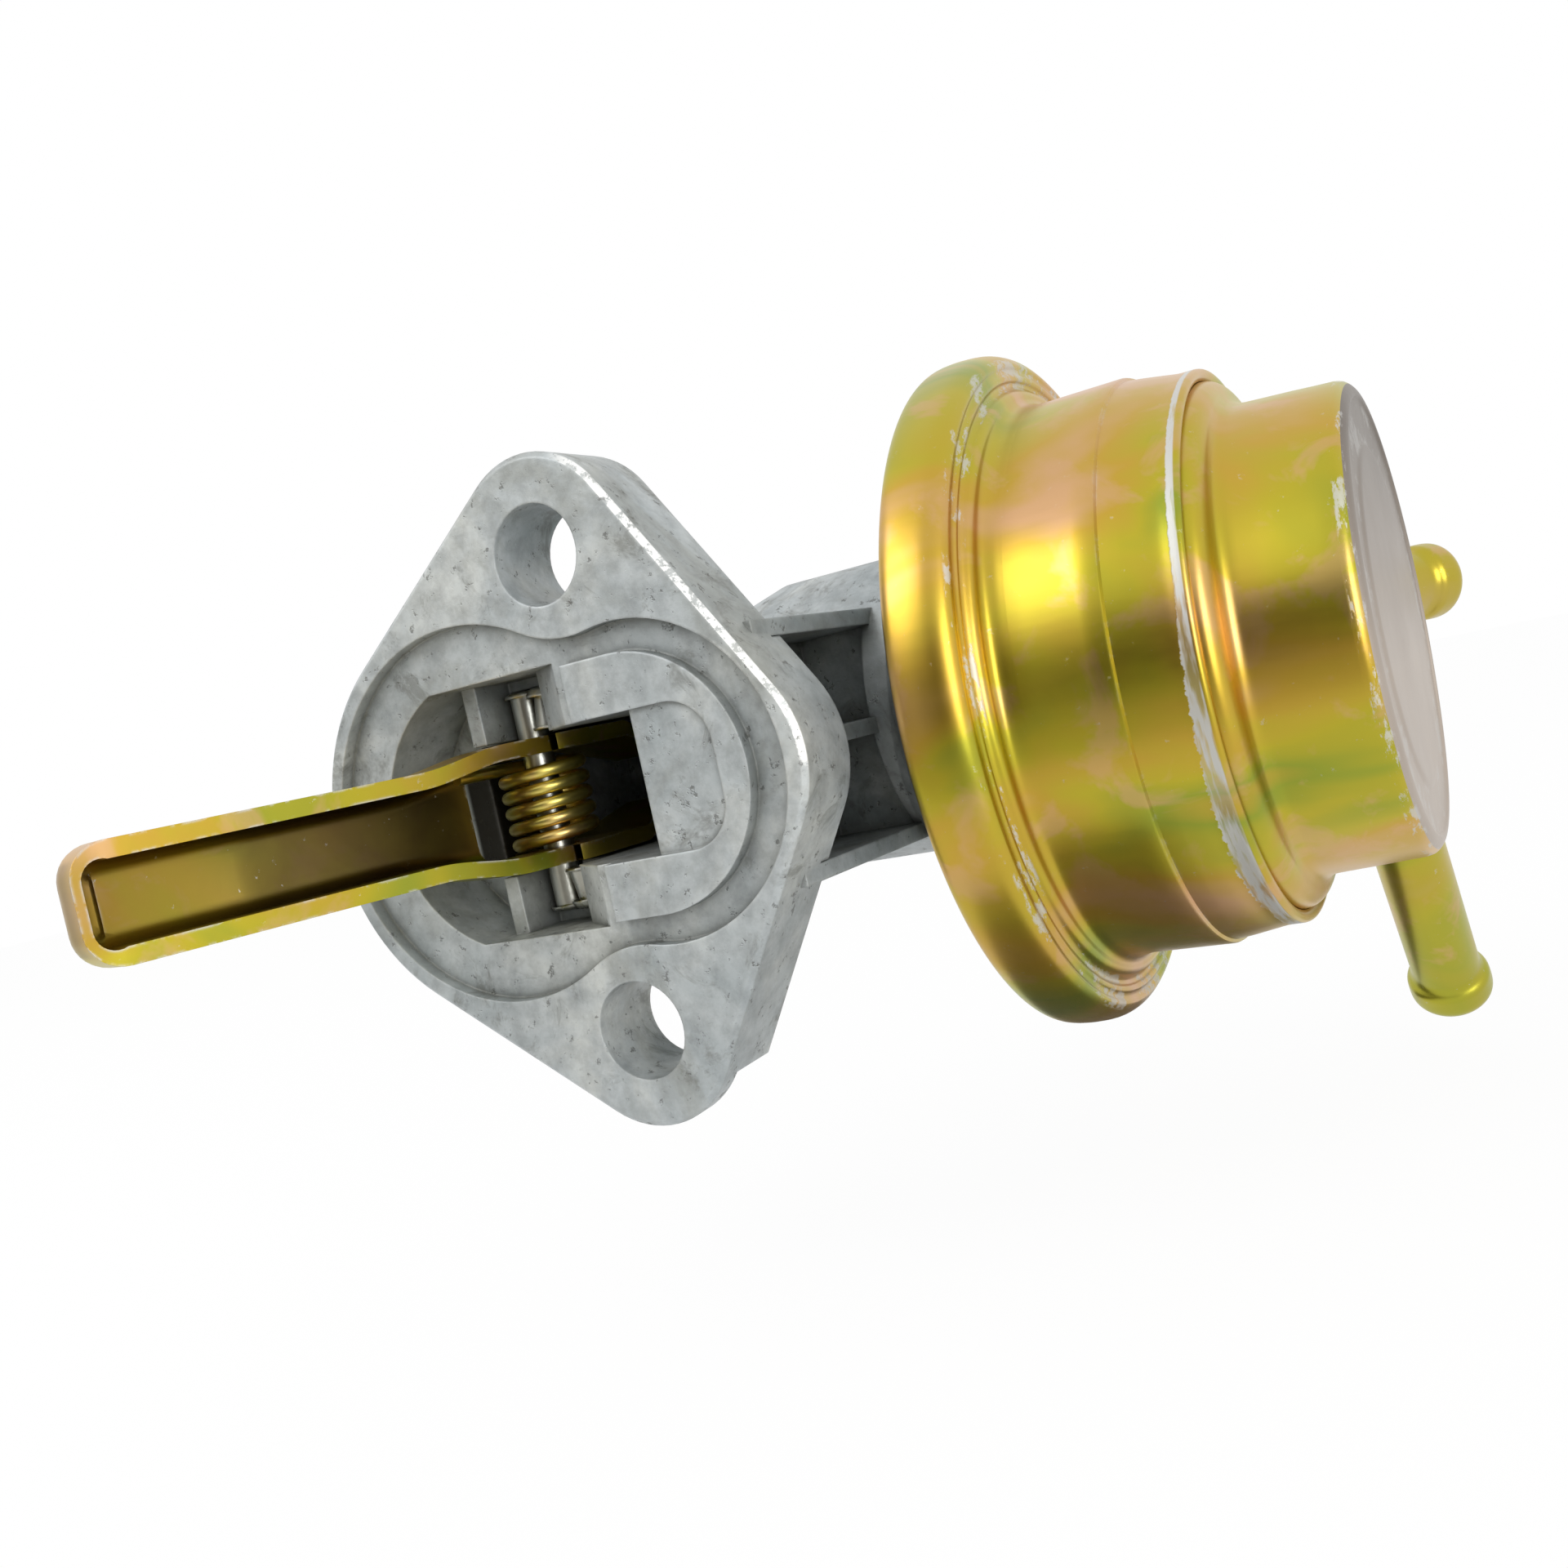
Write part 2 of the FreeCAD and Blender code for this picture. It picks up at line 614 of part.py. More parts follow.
def rocker_lever():
    side = arm_side()
    raised = side.copy()
    raised.translate(V(0, SHEET, 0))
    plan = arm_plan(SHEET)
    hollow = plan.common(raised)
    hub_gap = plan.common(box(-20, WEB_START, -20, 20, -20, 20))
    front = to_arm(arm_plan(0).common(side).cut(hollow).cut(hub_gap))
    lever = front.fuse([inner_cheek(1), inner_cheek(-1)])
    lever = lever.cut(cylinder_z(-20, 20, PIN_R + BORE_CLEARANCE, PIVOT_X, PIVOT_Y))
    return lever.removeSplitter()


def pivot_pin():
    pin = cylinder_z(-PIN_HALF_Z, PIN_HALF_Z, PIN_R, PIVOT_X, PIVOT_Y)
    return pin.makeChamfer(0.3, [e for e in pin.Edges if e.BoundBox.ZLength < 1e-6])


def pin_keepers():
    keepers = []
    for z0, z1 in ((-PIN_HALF_Z, -KEEPER_INNER_Z), (KEEPER_INNER_Z, PIN_HALF_Z)):
        keeper = cylinder_z(z0, z1, KEEPER_R, KEEPER_X, KEEPER_Y)
        keepers.append(keeper.makeChamfer(0.25, [e for e in keeper.Edges if e.BoundBox.ZLength < 1e-6]))
    return Part.makeCompound(keepers)


def lever_return_spring():
    """Torsion coil on the pivot pin: one leg bears on the slot's wall, the other on the lever's web."""
    radius, wire = RETURN_COIL_R, RETURN_WIRE_R
    reach = PIVOT_X - SLOT_LEFT_X - wire - SEAT_CLEARANCE
    wall_lean = math.atan2(RETURN_LEG, radius) - math.acos(reach / math.hypot(radius, RETURN_LEG))
    web_gap = radius + WEB_V + SHEET + wire + SEAT_CLEARANCE
    web_lean = math.asin(web_gap / WEB_START)
    first = math.pi + wall_lean
    last = math.pi - ARM_LEAN + web_lean
    turned = math.degrees(last - first) + 360 * RETURN_TURNS
    spring = coil(radius, wire, WIRE_SIDES, RETURN_PITCH, turned, RETURN_LEG, WEB_START + RETURN_OVERLAP)
    spring.translate(V(0, 0, -RETURN_PITCH * turned / 720))
    spring.rotate(V(0, 0, 0), AXIS_Z, math.degrees(first))
    spring.translate(PIVOT)
    return spring


def pull_rod():
    rod = cylinder_x(BUTTON_FACE_X - BUTTON_THK, LOWER_PLATE_X, ROD_R)
    button = cylinder_x(BUTTON_FACE_X - BUTTON_THK, BUTTON_FACE_X, BUTTON_R)
    button = button.makeChamfer(0.4, [e for e in button.Edges if e.BoundBox.XLength < 1e-6])
    stem = cylinder_x(LOWER_PLATE_X, UPPER_PLATE_X + PLATE_THK, STEM_R)
    head = cylinder_x(UPPER_PLATE_X + PLATE_THK, UPPER_PLATE_X + PLATE_THK + RIVET_THK, RIVET_R)
    top = UPPER_PLATE_X + PLATE_THK + RIVET_THK
    head = head.makeChamfer(0.6, [e for e in head.Edges if e.BoundBox.XMin > top - 1e-3])
    return rod.fuse([button, stem, head]).removeSplitter()


def rod_seal():
    body = tube_x(SEAL_SEAT_X, SPRING_SEAT_X, SEAL_R, ROD_R + 0.1)
    groove = tube_x(SEAL_SEAT_X + 1.6, SEAL_SEAT_X + 3.2, SEAL_R + 1, SEAL_R - 1.2)
    return body.cut(groove)


def seal_retainer():
    x = SPRING_SEAT_X
    disc = tube_x(x, x + RETAINER_THK, SPRING_SEAT_R - 0.1, ROD_R + 0.6)
    collar = tube_x(x + RETAINER_THK, x + RETAINER_THK + 1.6, DIAPHRAGM_COIL_R - 1.4, DIAPHRAGM_COIL_R - 2.2)
    return disc.fuse(collar)


def diaphragm_spring():
    start = SPRING_SEAT_X + RETAINER_THK + DIAPHRAGM_WIRE_R
    end = LOWER_PLATE_X - DIAPHRAGM_WIRE_R
    pitch = (end - start) / DIAPHRAGM_TURNS
    spring = coil(DIAPHRAGM_COIL_R, DIAPHRAGM_WIRE_R, HIDDEN_WIRE_SIDES, pitch, 360 * DIAPHRAGM_TURNS)
    return turn_to_x(spring, start)


def lower_diaphragm_plate():
    x = LOWER_PLATE_X
    plate = revolve_x([
        (x, STEM_R), (x, PLATE_R - 2), (x - 0.9, PLATE_R - 0.6), (x - 0.5, PLATE_R + 0.4),
        (x + 0.5, PLATE_R - 0.9), (x + PLATE_THK, PLATE_R - 1.5), (x + PLATE_THK, STEM_R)])
    return plate


def diaphragm():
    x = CLAMP_X
    return tube_x(x, x + DIAPHRAGM_THK, CLAMP_R, STEM_R)


def upper_diaphragm_plate():
    x = UPPER_PLATE_X
    return revolve_x([
        (x, STEM_R), (x, PLATE_R - 1.5), (x + PLATE_THK * 0.6, PLATE_R), (x + PLATE_THK * 1.5, PLATE_R + 0.3),
        (x + PLATE_THK * 1.5, PLATE_R - 0.8), (x + PLATE_THK, PLATE_R - 1.8), (x + PLATE_THK, STEM_R)])


def upper_cover():
    """Pressed shell: rolled rim round the stack, two ring beads, barrel, taper and press seat."""
    lip_x = CLAMP_X - CLAMP_THK - 2 * RIM_PLAY
    wall = CLAMP_R + RIM_PLAY
    face = COVER_FACE_X
    outer_back = lip_x - COVER_SHEET
    bore = BARREL_R - COVER_SHEET
    corner = RIM_CORNER
    barrel_start = face + 4.0
    items = [
        [(lip_x, RIM_LIP_R), (lip_x, wall)],
        [(lip_x, wall), (face, wall)],
        [(face, wall), (face, bore + 0.8)],
        [(face, bore + 0.8), (face + 0.25, bore + 0.25), (face + 0.8, bore)],
        [(face + 0.8, bore), (BARREL_END_X - 1, bore)],
        [(BARREL_END_X - 1, bore), (VALVE_PLATE_X, CUP_PRESS_R)],
        [(VALVE_PLATE_X, CUP_PRESS_R), (SEAM_END_X, CUP_PRESS_R)],
        [(SEAM_END_X, CUP_PRESS_R), (SEAM_END_X, SEAM_R - 0.3)],
        [(SEAM_END_X, SEAM_R - 0.3), (SEAM_END_X - 0.3, SEAM_R)],
        [(SEAM_END_X - 0.3, SEAM_R), (SEAM_START_X, SEAM_R)],
        [(SEAM_START_X, SEAM_R), (BARREL_END_X, BARREL_R - 0.3)],
        [(BARREL_END_X, BARREL_R - 0.3), (BARREL_END_X - 0.2, BARREL_R)],
        [(BARREL_END_X - 0.2, BARREL_R), (barrel_start, BARREL_R)],
        [(barrel_start, BARREL_R), (face + 2.75, BARREL_R + 0.25), (face + 2.2, BARREL_R + 1.0)],
        [(face + 2.2, BARREL_R + 1.0), (face + 2.0, BARREL_R + 1.75), (face + 1.3, BARREL_R + 2.2)],
        [(face + 1.3, BARREL_R + 2.2), (face + 1.2, BARREL_R + 2.65), (face + 1.45, BARREL_R + 3.1)],
        [(face + 1.45, BARREL_R + 3.1), (face + 1.6, BARREL_R + 3.6), (face + 1.4, BARREL_R + 4.1)],
        [(face + 1.4, BARREL_R + 4.1), (face + 1.45, BARREL_R + 4.7)],
        [(face + 1.45, BARREL_R + 4.7), (face + 0.95, RIM_R - 0.4), (face - 0.1, RIM_R)],
        [(face - 0.1, RIM_R), (outer_back + corner, RIM_R)],
        [
            (outer_back + corner, RIM_R),
            (outer_back + corner * (1 - math.sqrt(0.5)), RIM_R - corner * (1 - math.sqrt(0.5))),
            (outer_back, RIM_R - corner),
        ],
        [(outer_back, RIM_R - corner), (outer_back, RIM_LIP_R)],
        [(outer_back, RIM_LIP_R), (lip_x, RIM_LIP_R)],
    ]
    return revolve_edges(profile_edges(items))


def valve_place(inlet):
    """Centre of a valve, on the line square to the divider between the two chambers."""
    angle = math.radians(VALVE_LINE_DEG)
    sign = -1 if inlet else 1
    return (HEAD_Y + sign * VALVE_OFFSET * math.cos(angle), sign * VALVE_OFFSET * math.sin(angle))


def valve_plate():
    x0, x1 = VALVE_PLATE_X, VALVE_PLATE_X + VALVE_PLATE_THK
    plate = cylinder_x(x0, x1, CUP_PRESS_R - SEAT_CLEARANCE)
    for inlet in (True, False):
        y, z = valve_place(inlet)
        plate = plate.cut(cylinder_x(x0 - 1, x1 + 1, VALVE_STEM_R, y, z))
        for i in range(VALVE_PORTS):
            angle = 2 * math.pi * i / VALVE_PORTS
            py, pz = y + VALVE_PORT_PCR * math.cos(angle), z + VALVE_PORT_PCR * math.sin(angle)
            plate = plate.cut(cylinder_x(x0 - 1, x1 + 1, VALVE_PORT_R, py, pz))
    inner_r = CUP_MOUTH_R - CUP_SHEET - 0.3
    far = CUP_END_X - CUP_FACE_DROP - CUP_SHEET - 0.3
    wall = box(x1 - 0.5, far, HEAD_Y - inner_r, HEAD_Y + inner_r, -DIVIDER_THK / 2, DIVIDER_THK / 2)
    wall = wall.common(cylinder_x(x1 - 0.5, far, inner_r))
    wall.rotate(V(0, HEAD_Y, 0), AXIS_X, VALVE_LINE_DEG - 90)
    return plate.fuse(wall).removeSplitter()


def valve_parts(inlet):
    """Disc, spring and headed stem of one valve; the inlet opens to -X and the outlet to +X."""
    y, z = valve_place(inlet)
    disc_r = VALVE_R
    head_far = VALVE_SPRING_LENGTH + VALVE_DISC_THK + VALVE_HEAD_THK
    disc = Part.makeCylinder(disc_r, VALVE_DISC_THK).cut(Part.makeCylinder(VALVE_STEM_R + 0.1, VALVE_DISC_THK))
    stem = Part.makeCylinder(VALVE_STEM_R - 0.02, head_far + VALVE_PLATE_THK, V(0, 0, -VALVE_PLATE_THK))
    head = Part.makeCylinder(VALVE_HEAD_R, VALVE_HEAD_THK, V(0, 0, head_far - VALVE_HEAD_THK))
    stem = stem.fuse(head).removeSplitter()
    rise = VALVE_SPRING_LENGTH - 2 * VALVE_WIRE_R - 0.04
    pitch = rise / VALVE_TURNS
    spring = coil(VALVE_HEAD_R - 0.7, VALVE_WIRE_R, HIDDEN_WIRE_SIDES, pitch, 360 * VALVE_TURNS)
    spring.translate(V(0, 0, VALVE_DISC_THK + VALVE_WIRE_R + 0.02))
    placed = []
    for shape in (disc, spring, stem):
        moved = shape.copy()
        moved.rotate(V(0, 0, 0), AXIS_Y, -90 if inlet else 90)
        moved.translate(V(VALVE_PLATE_X if inlet else VALVE_PLATE_X + VALVE_PLATE_THK, y, z))
        placed.append(moved)
    return placed


def seam_gasket():
    return tube_x(GASKET_X, CUP_START_X, CUP_PRESS_R - 0.1, CUP_PRESS_R - CUP_SHEET - 0.6)


def end_cup():
    """Pressed cup: shoulder pressed into the cover, straight wall, rounded corner, flat end."""
    x0 = CUP_START_X
    press = CUP_PRESS_R
    shoulder = CUP_SHOULDER_X
    corner = CUP_CORNER_R
    turn = corner * (1 - math.sqrt(0.5))
    end = CUP_END_X
    face = end - CUP_FACE_DROP
    lip_r = CUP_MOUTH_R - corner
    inner = face - CUP_SHEET
    items = [
        [(x0, press - CUP_SHEET), (x0, press)],
        [(x0, press), (shoulder - 0.4, press)],
        [(shoulder - 0.4, press), (shoulder + 0.9, press - 0.55), (shoulder + 1.4, press - 1.8)],
        [(shoulder + 1.4, press - 1.8), (shoulder + 1.65, CUP_R + 0.25), (CUP_WALL_X, CUP_R)],
        [(CUP_WALL_X, CUP_R), (end - corner, CUP_MOUTH_R)],
        [(end - corner, CUP_MOUTH_R), (end - turn, CUP_MOUTH_R - turn), (end, lip_r)],
        [(end, lip_r), (end - 0.05, lip_r - 0.25), (face, lip_r - 0.4)],
        [(face, lip_r - 0.4), (face, CUP_EMBOSS_R + 0.6)],
        [(face, CUP_EMBOSS_R + 0.6), (face + CUP_EMBOSS, CUP_EMBOSS_R)],
        [(face + CUP_EMBOSS, CUP_EMBOSS_R), (face + CUP_EMBOSS, 0)],
        [(face + CUP_EMBOSS, 0), (inner, 0)],
        [(inner, 0), (inner, CUP_MOUTH_R - CUP_SHEET)],
        [(inner, CUP_MOUTH_R - CUP_SHEET), (CUP_WALL_X, CUP_R - CUP_SHEET)],
        [(CUP_WALL_X, CUP_R - CUP_SHEET), (shoulder, press - CUP_SHEET)],
        [(shoulder, press - CUP_SHEET), (x0, press - CUP_SHEET)],
    ]
    cup = revolve_edges(profile_edges(items))
    hole = PIPE_R + PIPE_HOLE_CLEARANCE
    for direction, z in ((inlet_direction(), 0.0), (AXIS_Y, OUTLET_Z)):
        cup = cup.cut(Part.makeCylinder(hole, CUP_R + 5, V(PIPE_X, HEAD_Y, z), direction))
    return cup


def inlet_direction():
    angle = math.radians(INLET_ANGLE_DEG)
    return V(0, math.sin(angle), -math.cos(angle))


def bead_profile(length):
    """Hose end of a pipe up the Z axis: neck, bulge with a short land, and a rounded mouth."""
    start = length - BEAD_LENGTH
    land0 = length - BEAD_LENGTH + 1.6
    land1 = land0 + BEAD_LAND
    mouth = PIPE_BORE_R + 0.5

    def at(r, s):
        return V(r, 0, s)

    swell = Part.Arc(at(PIPE_R, start), at(PIPE_R + 0.15, start + 0.9), at(BEAD_R, land0)).toShape()
    round_off = Part.Arc(at(BEAD_R, land1), at(BEAD_R - 0.35, length - 0.4), at(mouth, length)).toShape()
    edges = [Part.LineSegment(at(0, start), at(PIPE_R, start)).toShape()]
    edges += straight_runs(swell, BEND_RUNS)
    edges.append(Part.LineSegment(at(BEAD_R, land0), at(BEAD_R, land1)).toShape())
    edges += straight_runs(round_off, BEND_RUNS)
    edges += [
        Part.LineSegment(at(mouth, length), at(0, length)).toShape(),
        Part.LineSegment(at(0, length), at(0, start)).toShape(),
    ]
    return Part.Face(Part.Wire(edges)).revolve(V(0, 0, 0), AXIS_Z, 360)


def pipe_start():
    """Distance from the head's axis at which a pipe begins, just inside the cup wall."""
    return CUP_R - CUP_SHEET - 0.8


def inlet_pipe():
    start = pipe_start()
    tube = Part.makeCylinder(PIPE_R, INLET_END - BEAD_LENGTH - start, V(0, 0, start))
    tube = tube.fuse(bead_profile(INLET_END))
    tube = tube.cut(Part.makeCylinder(PIPE_BORE_R, INLET_END + 1))
    tube = tube.removeSplitter()
    tube.rotate(V(0, 0, 0), AXIS_X, 180 + INLET_ANGLE_DEG)
    tube.translate(V(PIPE_X, HEAD_Y, 0))
    return tube


def outlet_run(radius, tail):
    """Straight stub, bend towards +X and tail of the outlet pipe, as one solid."""
    start = HEAD_Y + pipe_start()
    bend_y = HEAD_Y + CUP_R + OUTLET_STRAIGHT
    stub = Part.makeCylinder(radius, bend_y - start, V(PIPE_X, start, OUTLET_Z), AXIS_Y)
    ring = Part.Face(Part.Wire([Part.Circle(V(PIPE_X, bend_y, OUTLET_Z), AXIS_Y, radius).toShape()]))
    centre = V(PIPE_X + OUTLET_BEND_R, bend_y, OUTLET_Z)
    bend = ring.revolve(centre, V(0, 0, -1), OUTLET_BEND_DEG)
    end, direction = outlet_end()
    straight = Part.makeCylinder(radius, tail, end, direction)
    return stub.fuse([bend, straight])


def outlet_end():
    """Where the outlet's bend ends, and the way it then points."""
    angle = math.radians(OUTLET_BEND_DEG)
    bend_y = HEAD_Y + CUP_R + OUTLET_STRAIGHT
    x = PIPE_X + OUTLET_BEND_R * (1 - math.cos(angle))
    y = bend_y + OUTLET_BEND_R * math.sin(angle)
    return V(x, y, OUTLET_Z), V(math.sin(angle), math.cos(angle), 0)


def outlet_pipe():
    end, direction = outlet_end()
    bead = bead_profile(OUTLET_TAIL + BEAD_LENGTH)
    bead.rotate(V(0, 0, 0), AXIS_X, -90)
    bead.rotate(V(0, 0, 0), AXIS_Z, -OUTLET_BEND_DEG)
    bead.translate(end)
    outer = outlet_run(PIPE_R, OUTLET_TAIL).fuse(bead)
    return outer.cut(outlet_run(PIPE_BORE_R, OUTLET_TAIL + BEAD_LENGTH + 1)).removeSplitter()


def main():
    os.makedirs("parts", exist_ok=True)
    save(body_casting(), "body_casting")
    save(rocker_lever(), "rocker_lever")
    save(pivot_pin(), "pivot_pin")
    save(pin_keepers(), "pin_keepers")
    save(lever_return_spring(), "lever_return_spring")
    save(pull_rod(), "pull_rod")
    save(rod_seal(), "rod_seal")
    save(seal_retainer(), "seal_retainer")
    save(diaphragm_spring(), "diaphragm_spring")
    save(lower_diaphragm_plate(), "lower_diaphragm_plate")
    save(diaphragm(), "diaphragm")
    save(upper_diaphragm_plate(), "upper_diaphragm_plate")
    save(upper_cover(), "upper_cover")
    save(valve_plate(), "valve_plate")
    for name, inlet in (("inlet", True), ("outlet", False)):
        disc, spring, stem = valve_parts(inlet)
        save(disc, name + "_valve_disc")
        save(spring, name + "_valve_spring")
        save(stem, name + "_valve_stem")
    save(seam_gasket(), "seam_gasket")
    save(end_cup(), "end_cup")
    save(inlet_pipe(), "inlet_pipe")
    save(outlet_pipe(), "outlet_pipe")


main()
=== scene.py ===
# Mechanical fuel pump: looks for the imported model. Lengths are millimetres, and metres in materials and
# in names that end in _M.
import bpy
import bmesh
import json
import math
from mathutils import Matrix, Vector


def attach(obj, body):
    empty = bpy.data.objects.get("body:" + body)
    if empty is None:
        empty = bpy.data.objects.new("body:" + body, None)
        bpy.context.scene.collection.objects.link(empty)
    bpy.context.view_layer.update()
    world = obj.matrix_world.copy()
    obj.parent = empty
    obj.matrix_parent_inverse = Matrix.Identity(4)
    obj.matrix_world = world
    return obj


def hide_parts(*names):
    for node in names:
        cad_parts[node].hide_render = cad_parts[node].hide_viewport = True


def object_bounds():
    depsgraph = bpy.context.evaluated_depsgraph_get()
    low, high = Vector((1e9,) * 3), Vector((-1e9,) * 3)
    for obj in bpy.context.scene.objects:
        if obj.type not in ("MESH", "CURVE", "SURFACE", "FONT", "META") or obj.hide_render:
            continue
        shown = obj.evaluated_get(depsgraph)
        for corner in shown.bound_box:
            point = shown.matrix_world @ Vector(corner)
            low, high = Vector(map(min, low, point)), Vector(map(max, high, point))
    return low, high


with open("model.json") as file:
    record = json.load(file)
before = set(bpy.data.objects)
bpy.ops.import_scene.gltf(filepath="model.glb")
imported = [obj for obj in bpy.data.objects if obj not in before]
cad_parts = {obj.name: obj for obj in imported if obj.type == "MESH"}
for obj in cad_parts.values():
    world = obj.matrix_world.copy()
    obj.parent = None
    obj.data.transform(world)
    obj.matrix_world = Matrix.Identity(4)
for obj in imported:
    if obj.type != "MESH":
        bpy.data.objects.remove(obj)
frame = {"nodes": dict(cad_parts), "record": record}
cad_low, cad_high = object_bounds()
MM = 0.001

# The camera that the photograph was fitted with
CAMERA_AZIMUTH = 29.56
CAMERA_ELEVATION = 2.47
CAMERA_ROLL = -12.39
CAMERA_DISTANCE = 116.3
CAMERA_TARGET = Vector((19.15, 0.0, -2.32))
CAMERA_LENS = 33.49
SENSOR = 36.0
CLIP_NEAR_M = 0.005
CLIP_FAR_M = 20

# Sizes repeated from the solids: head, pivot and keepers
HEAD_Y = 37.0
PIVOT = Vector((-12.0, 9.6, 0.0))
PIN_R = 2.0
PIN_HALF_Z = 10.6
KEEPER_R = 1.7
KEEPER_X = -8.6
KEEPER_Y = 8.1
KEEPER_INNER_Z = 6.6

# Sizes repeated from the solids: lever
ARM_LEAN = math.radians(15.7)
ARM_LENGTH = 44.3
ARM_SPAN = ARM_LENGTH + 1
SHEET = 1.5
WEB_V = -4.8
HUB_HALF_Z = 6.0
ARM_HALF_Z = 4.9
FLARE_START = 6.0
FLARE_END = 15.0
TIP_R = 3.0
FOLD_R = 2.6
WEB_START = 6.0
TOP_AT_HUB = 4.4
TOP_AT_TIP = 0.6
PAD_RISE = 0.7
PAD_LENGTH = 15

# Sizes repeated from the solids: hose pipes
PIPE_R = 3.4
PIPE_X = 57.0
PIPE_ROOT = 19.6
INLET_END = 45.5
INLET_TURN = math.radians(35)
OUTLET_Z = 2.4
CUP_WALL_R = 21.4
OUTLET_STRAIGHT = 5.0
BEND_R = 10.0
BEND = math.radians(35)
OUTLET_END = 1.5

# How finely the meshes are divided
TURNED_SIDES = 176
PIPE_SIDES = 64
ROD_SIDES = 48
WIRE_SIDES = 14
CURVE_STEPS = 5
SMALL_CURVE_STEPS = 4
INLET_STEPS = 10
OUTLET_STEPS = 5
BEND_STEPS = 12
DOME_STEPS = 8
SHARP_ANGLE = math.radians(38)
WELD_M = 1e-7
BEVEL_SAMPLES = 6
OCCLUSION_SAMPLES = 8


def spline(points, steps):
    """Smooth curve through the given (x, r) points, as vectors."""
    out = []
    for i in range(len(points) - 1):
        before = Vector(points[max(i - 1, 0)])
        start, end = Vector(points[i]), Vector(points[i + 1])
        after = Vector(points[min(i + 2, len(points) - 1)])
        for k in range(steps):
            t = k / steps
            a = 2 * start
            b = end - before
            c = 2 * before - 5 * start + 4 * end - after
            d = 3 * start - 3 * end + after - before
            out.append((a + b * t + c * t * t + d * t * t * t) / 2)
    out.append(Vector(points[-1]))
    return out


def straight(points):
    """The given (x, r) points as vectors, with straight sides between them."""
    return [Vector(point) for point in points]


def line(a, b, steps):
    """Evenly spaced points from a to b."""
    return [a.lerp(b, i / steps) for i in range(steps + 1)]


def make_piece(name, verts, faces, material, body, nodes=(), sharp=SHARP_ANGLE):
    """Visible piece from points in millimetres, riding on a body in place of the given nodes."""
    mesh = bpy.data.meshes.new(name)
    mesh.from_pydata([Vector(v) * MM for v in verts], [], faces)
    bm = bmesh.new()
    bm.from_mesh(mesh)
    bmesh.ops.remove_doubles(bm, verts=bm.verts, dist=WELD_M)
    bmesh.ops.recalc_face_normals(bm, faces=bm.faces)
    bm.to_mesh(mesh)
    bm.free()
    mesh.shade_smooth()
    mesh.set_sharp_from_angle(angle=sharp)
    piece = bpy.data.objects.new(name, mesh)
    bpy.context.scene.collection.objects.link(piece)
    mesh.materials.append(material)
    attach(piece, body)
    if nodes:
        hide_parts(*nodes)
    return piece


def column_faces(columns, count, closed):
    """Quads between columns of points round an axis; a closed column goes back to its first point."""
    faces = []
    for k in range(columns):
        n = (k + 1) % columns
        for i in range(count if closed else count - 1):
            j = (i + 1) % count
            faces.append((k * count + i, k * count + j, n * count + j, n * count + i))
    return faces


def turned(name, profile, material, nodes):
    """Piece of the housing, turned about the head's axis from a closed outline of (x, r) points."""
    verts = []
    for k in range(TURNED_SIDES):
        a = 2 * math.pi * k / TURNED_SIDES
        for x, r in profile:
            verts.append((x, HEAD_Y + r * math.cos(a), r * math.sin(a)))
    faces = column_faces(TURNED_SIDES, len(profile), True)
    make_piece(name, verts, faces, material, "housing", nodes)


def ring(centre, side, other, radius, sides):
    """Points of a circle in the plane of two directions."""
    points = []
    for k in range(sides):
        a = 2 * math.pi * k / sides
        points.append(centre + (side * math.cos(a) + other * math.sin(a)) * radius)
    return points


def rings(path, radius, sides):
    """Rings of points square to a path, carried along it without twist."""
    tangents = []
    for i in range(len(path)):
        a, b = path[max(i - 1, 0)], path[min(i + 1, len(path) - 1)]
        tangents.append((b - a).normalized())
    side = tangents[0].orthogonal().normalized()
    out = []
    for centre, tangent in zip(path, tangents):
        side = (side - tangent * side.dot(tangent)).normalized()
        out.append(ring(centre, side, tangent.cross(side), radius, sides))
    return out


def tube(name, loops, material, nodes):
    """Plated piece of the housing from rings of points, with a cap over each end."""
    sides = len(loops[0])
    verts, faces = [], []
    for loop in loops:
        verts += loop
    for i in range(len(loops) - 1):
        for k in range(sides):
            n = (k + 1) % sides
            faces.append((i * sides + k, i * sides + n, (i + 1) * sides + n, (i + 1) * sides + k))
    faces.append(tuple(range(sides))[::-1])
    last = (len(loops) - 1) * sides
    faces.append(tuple(range(last, last + sides)))
    make_piece(name, verts, faces, material, "housing", nodes)


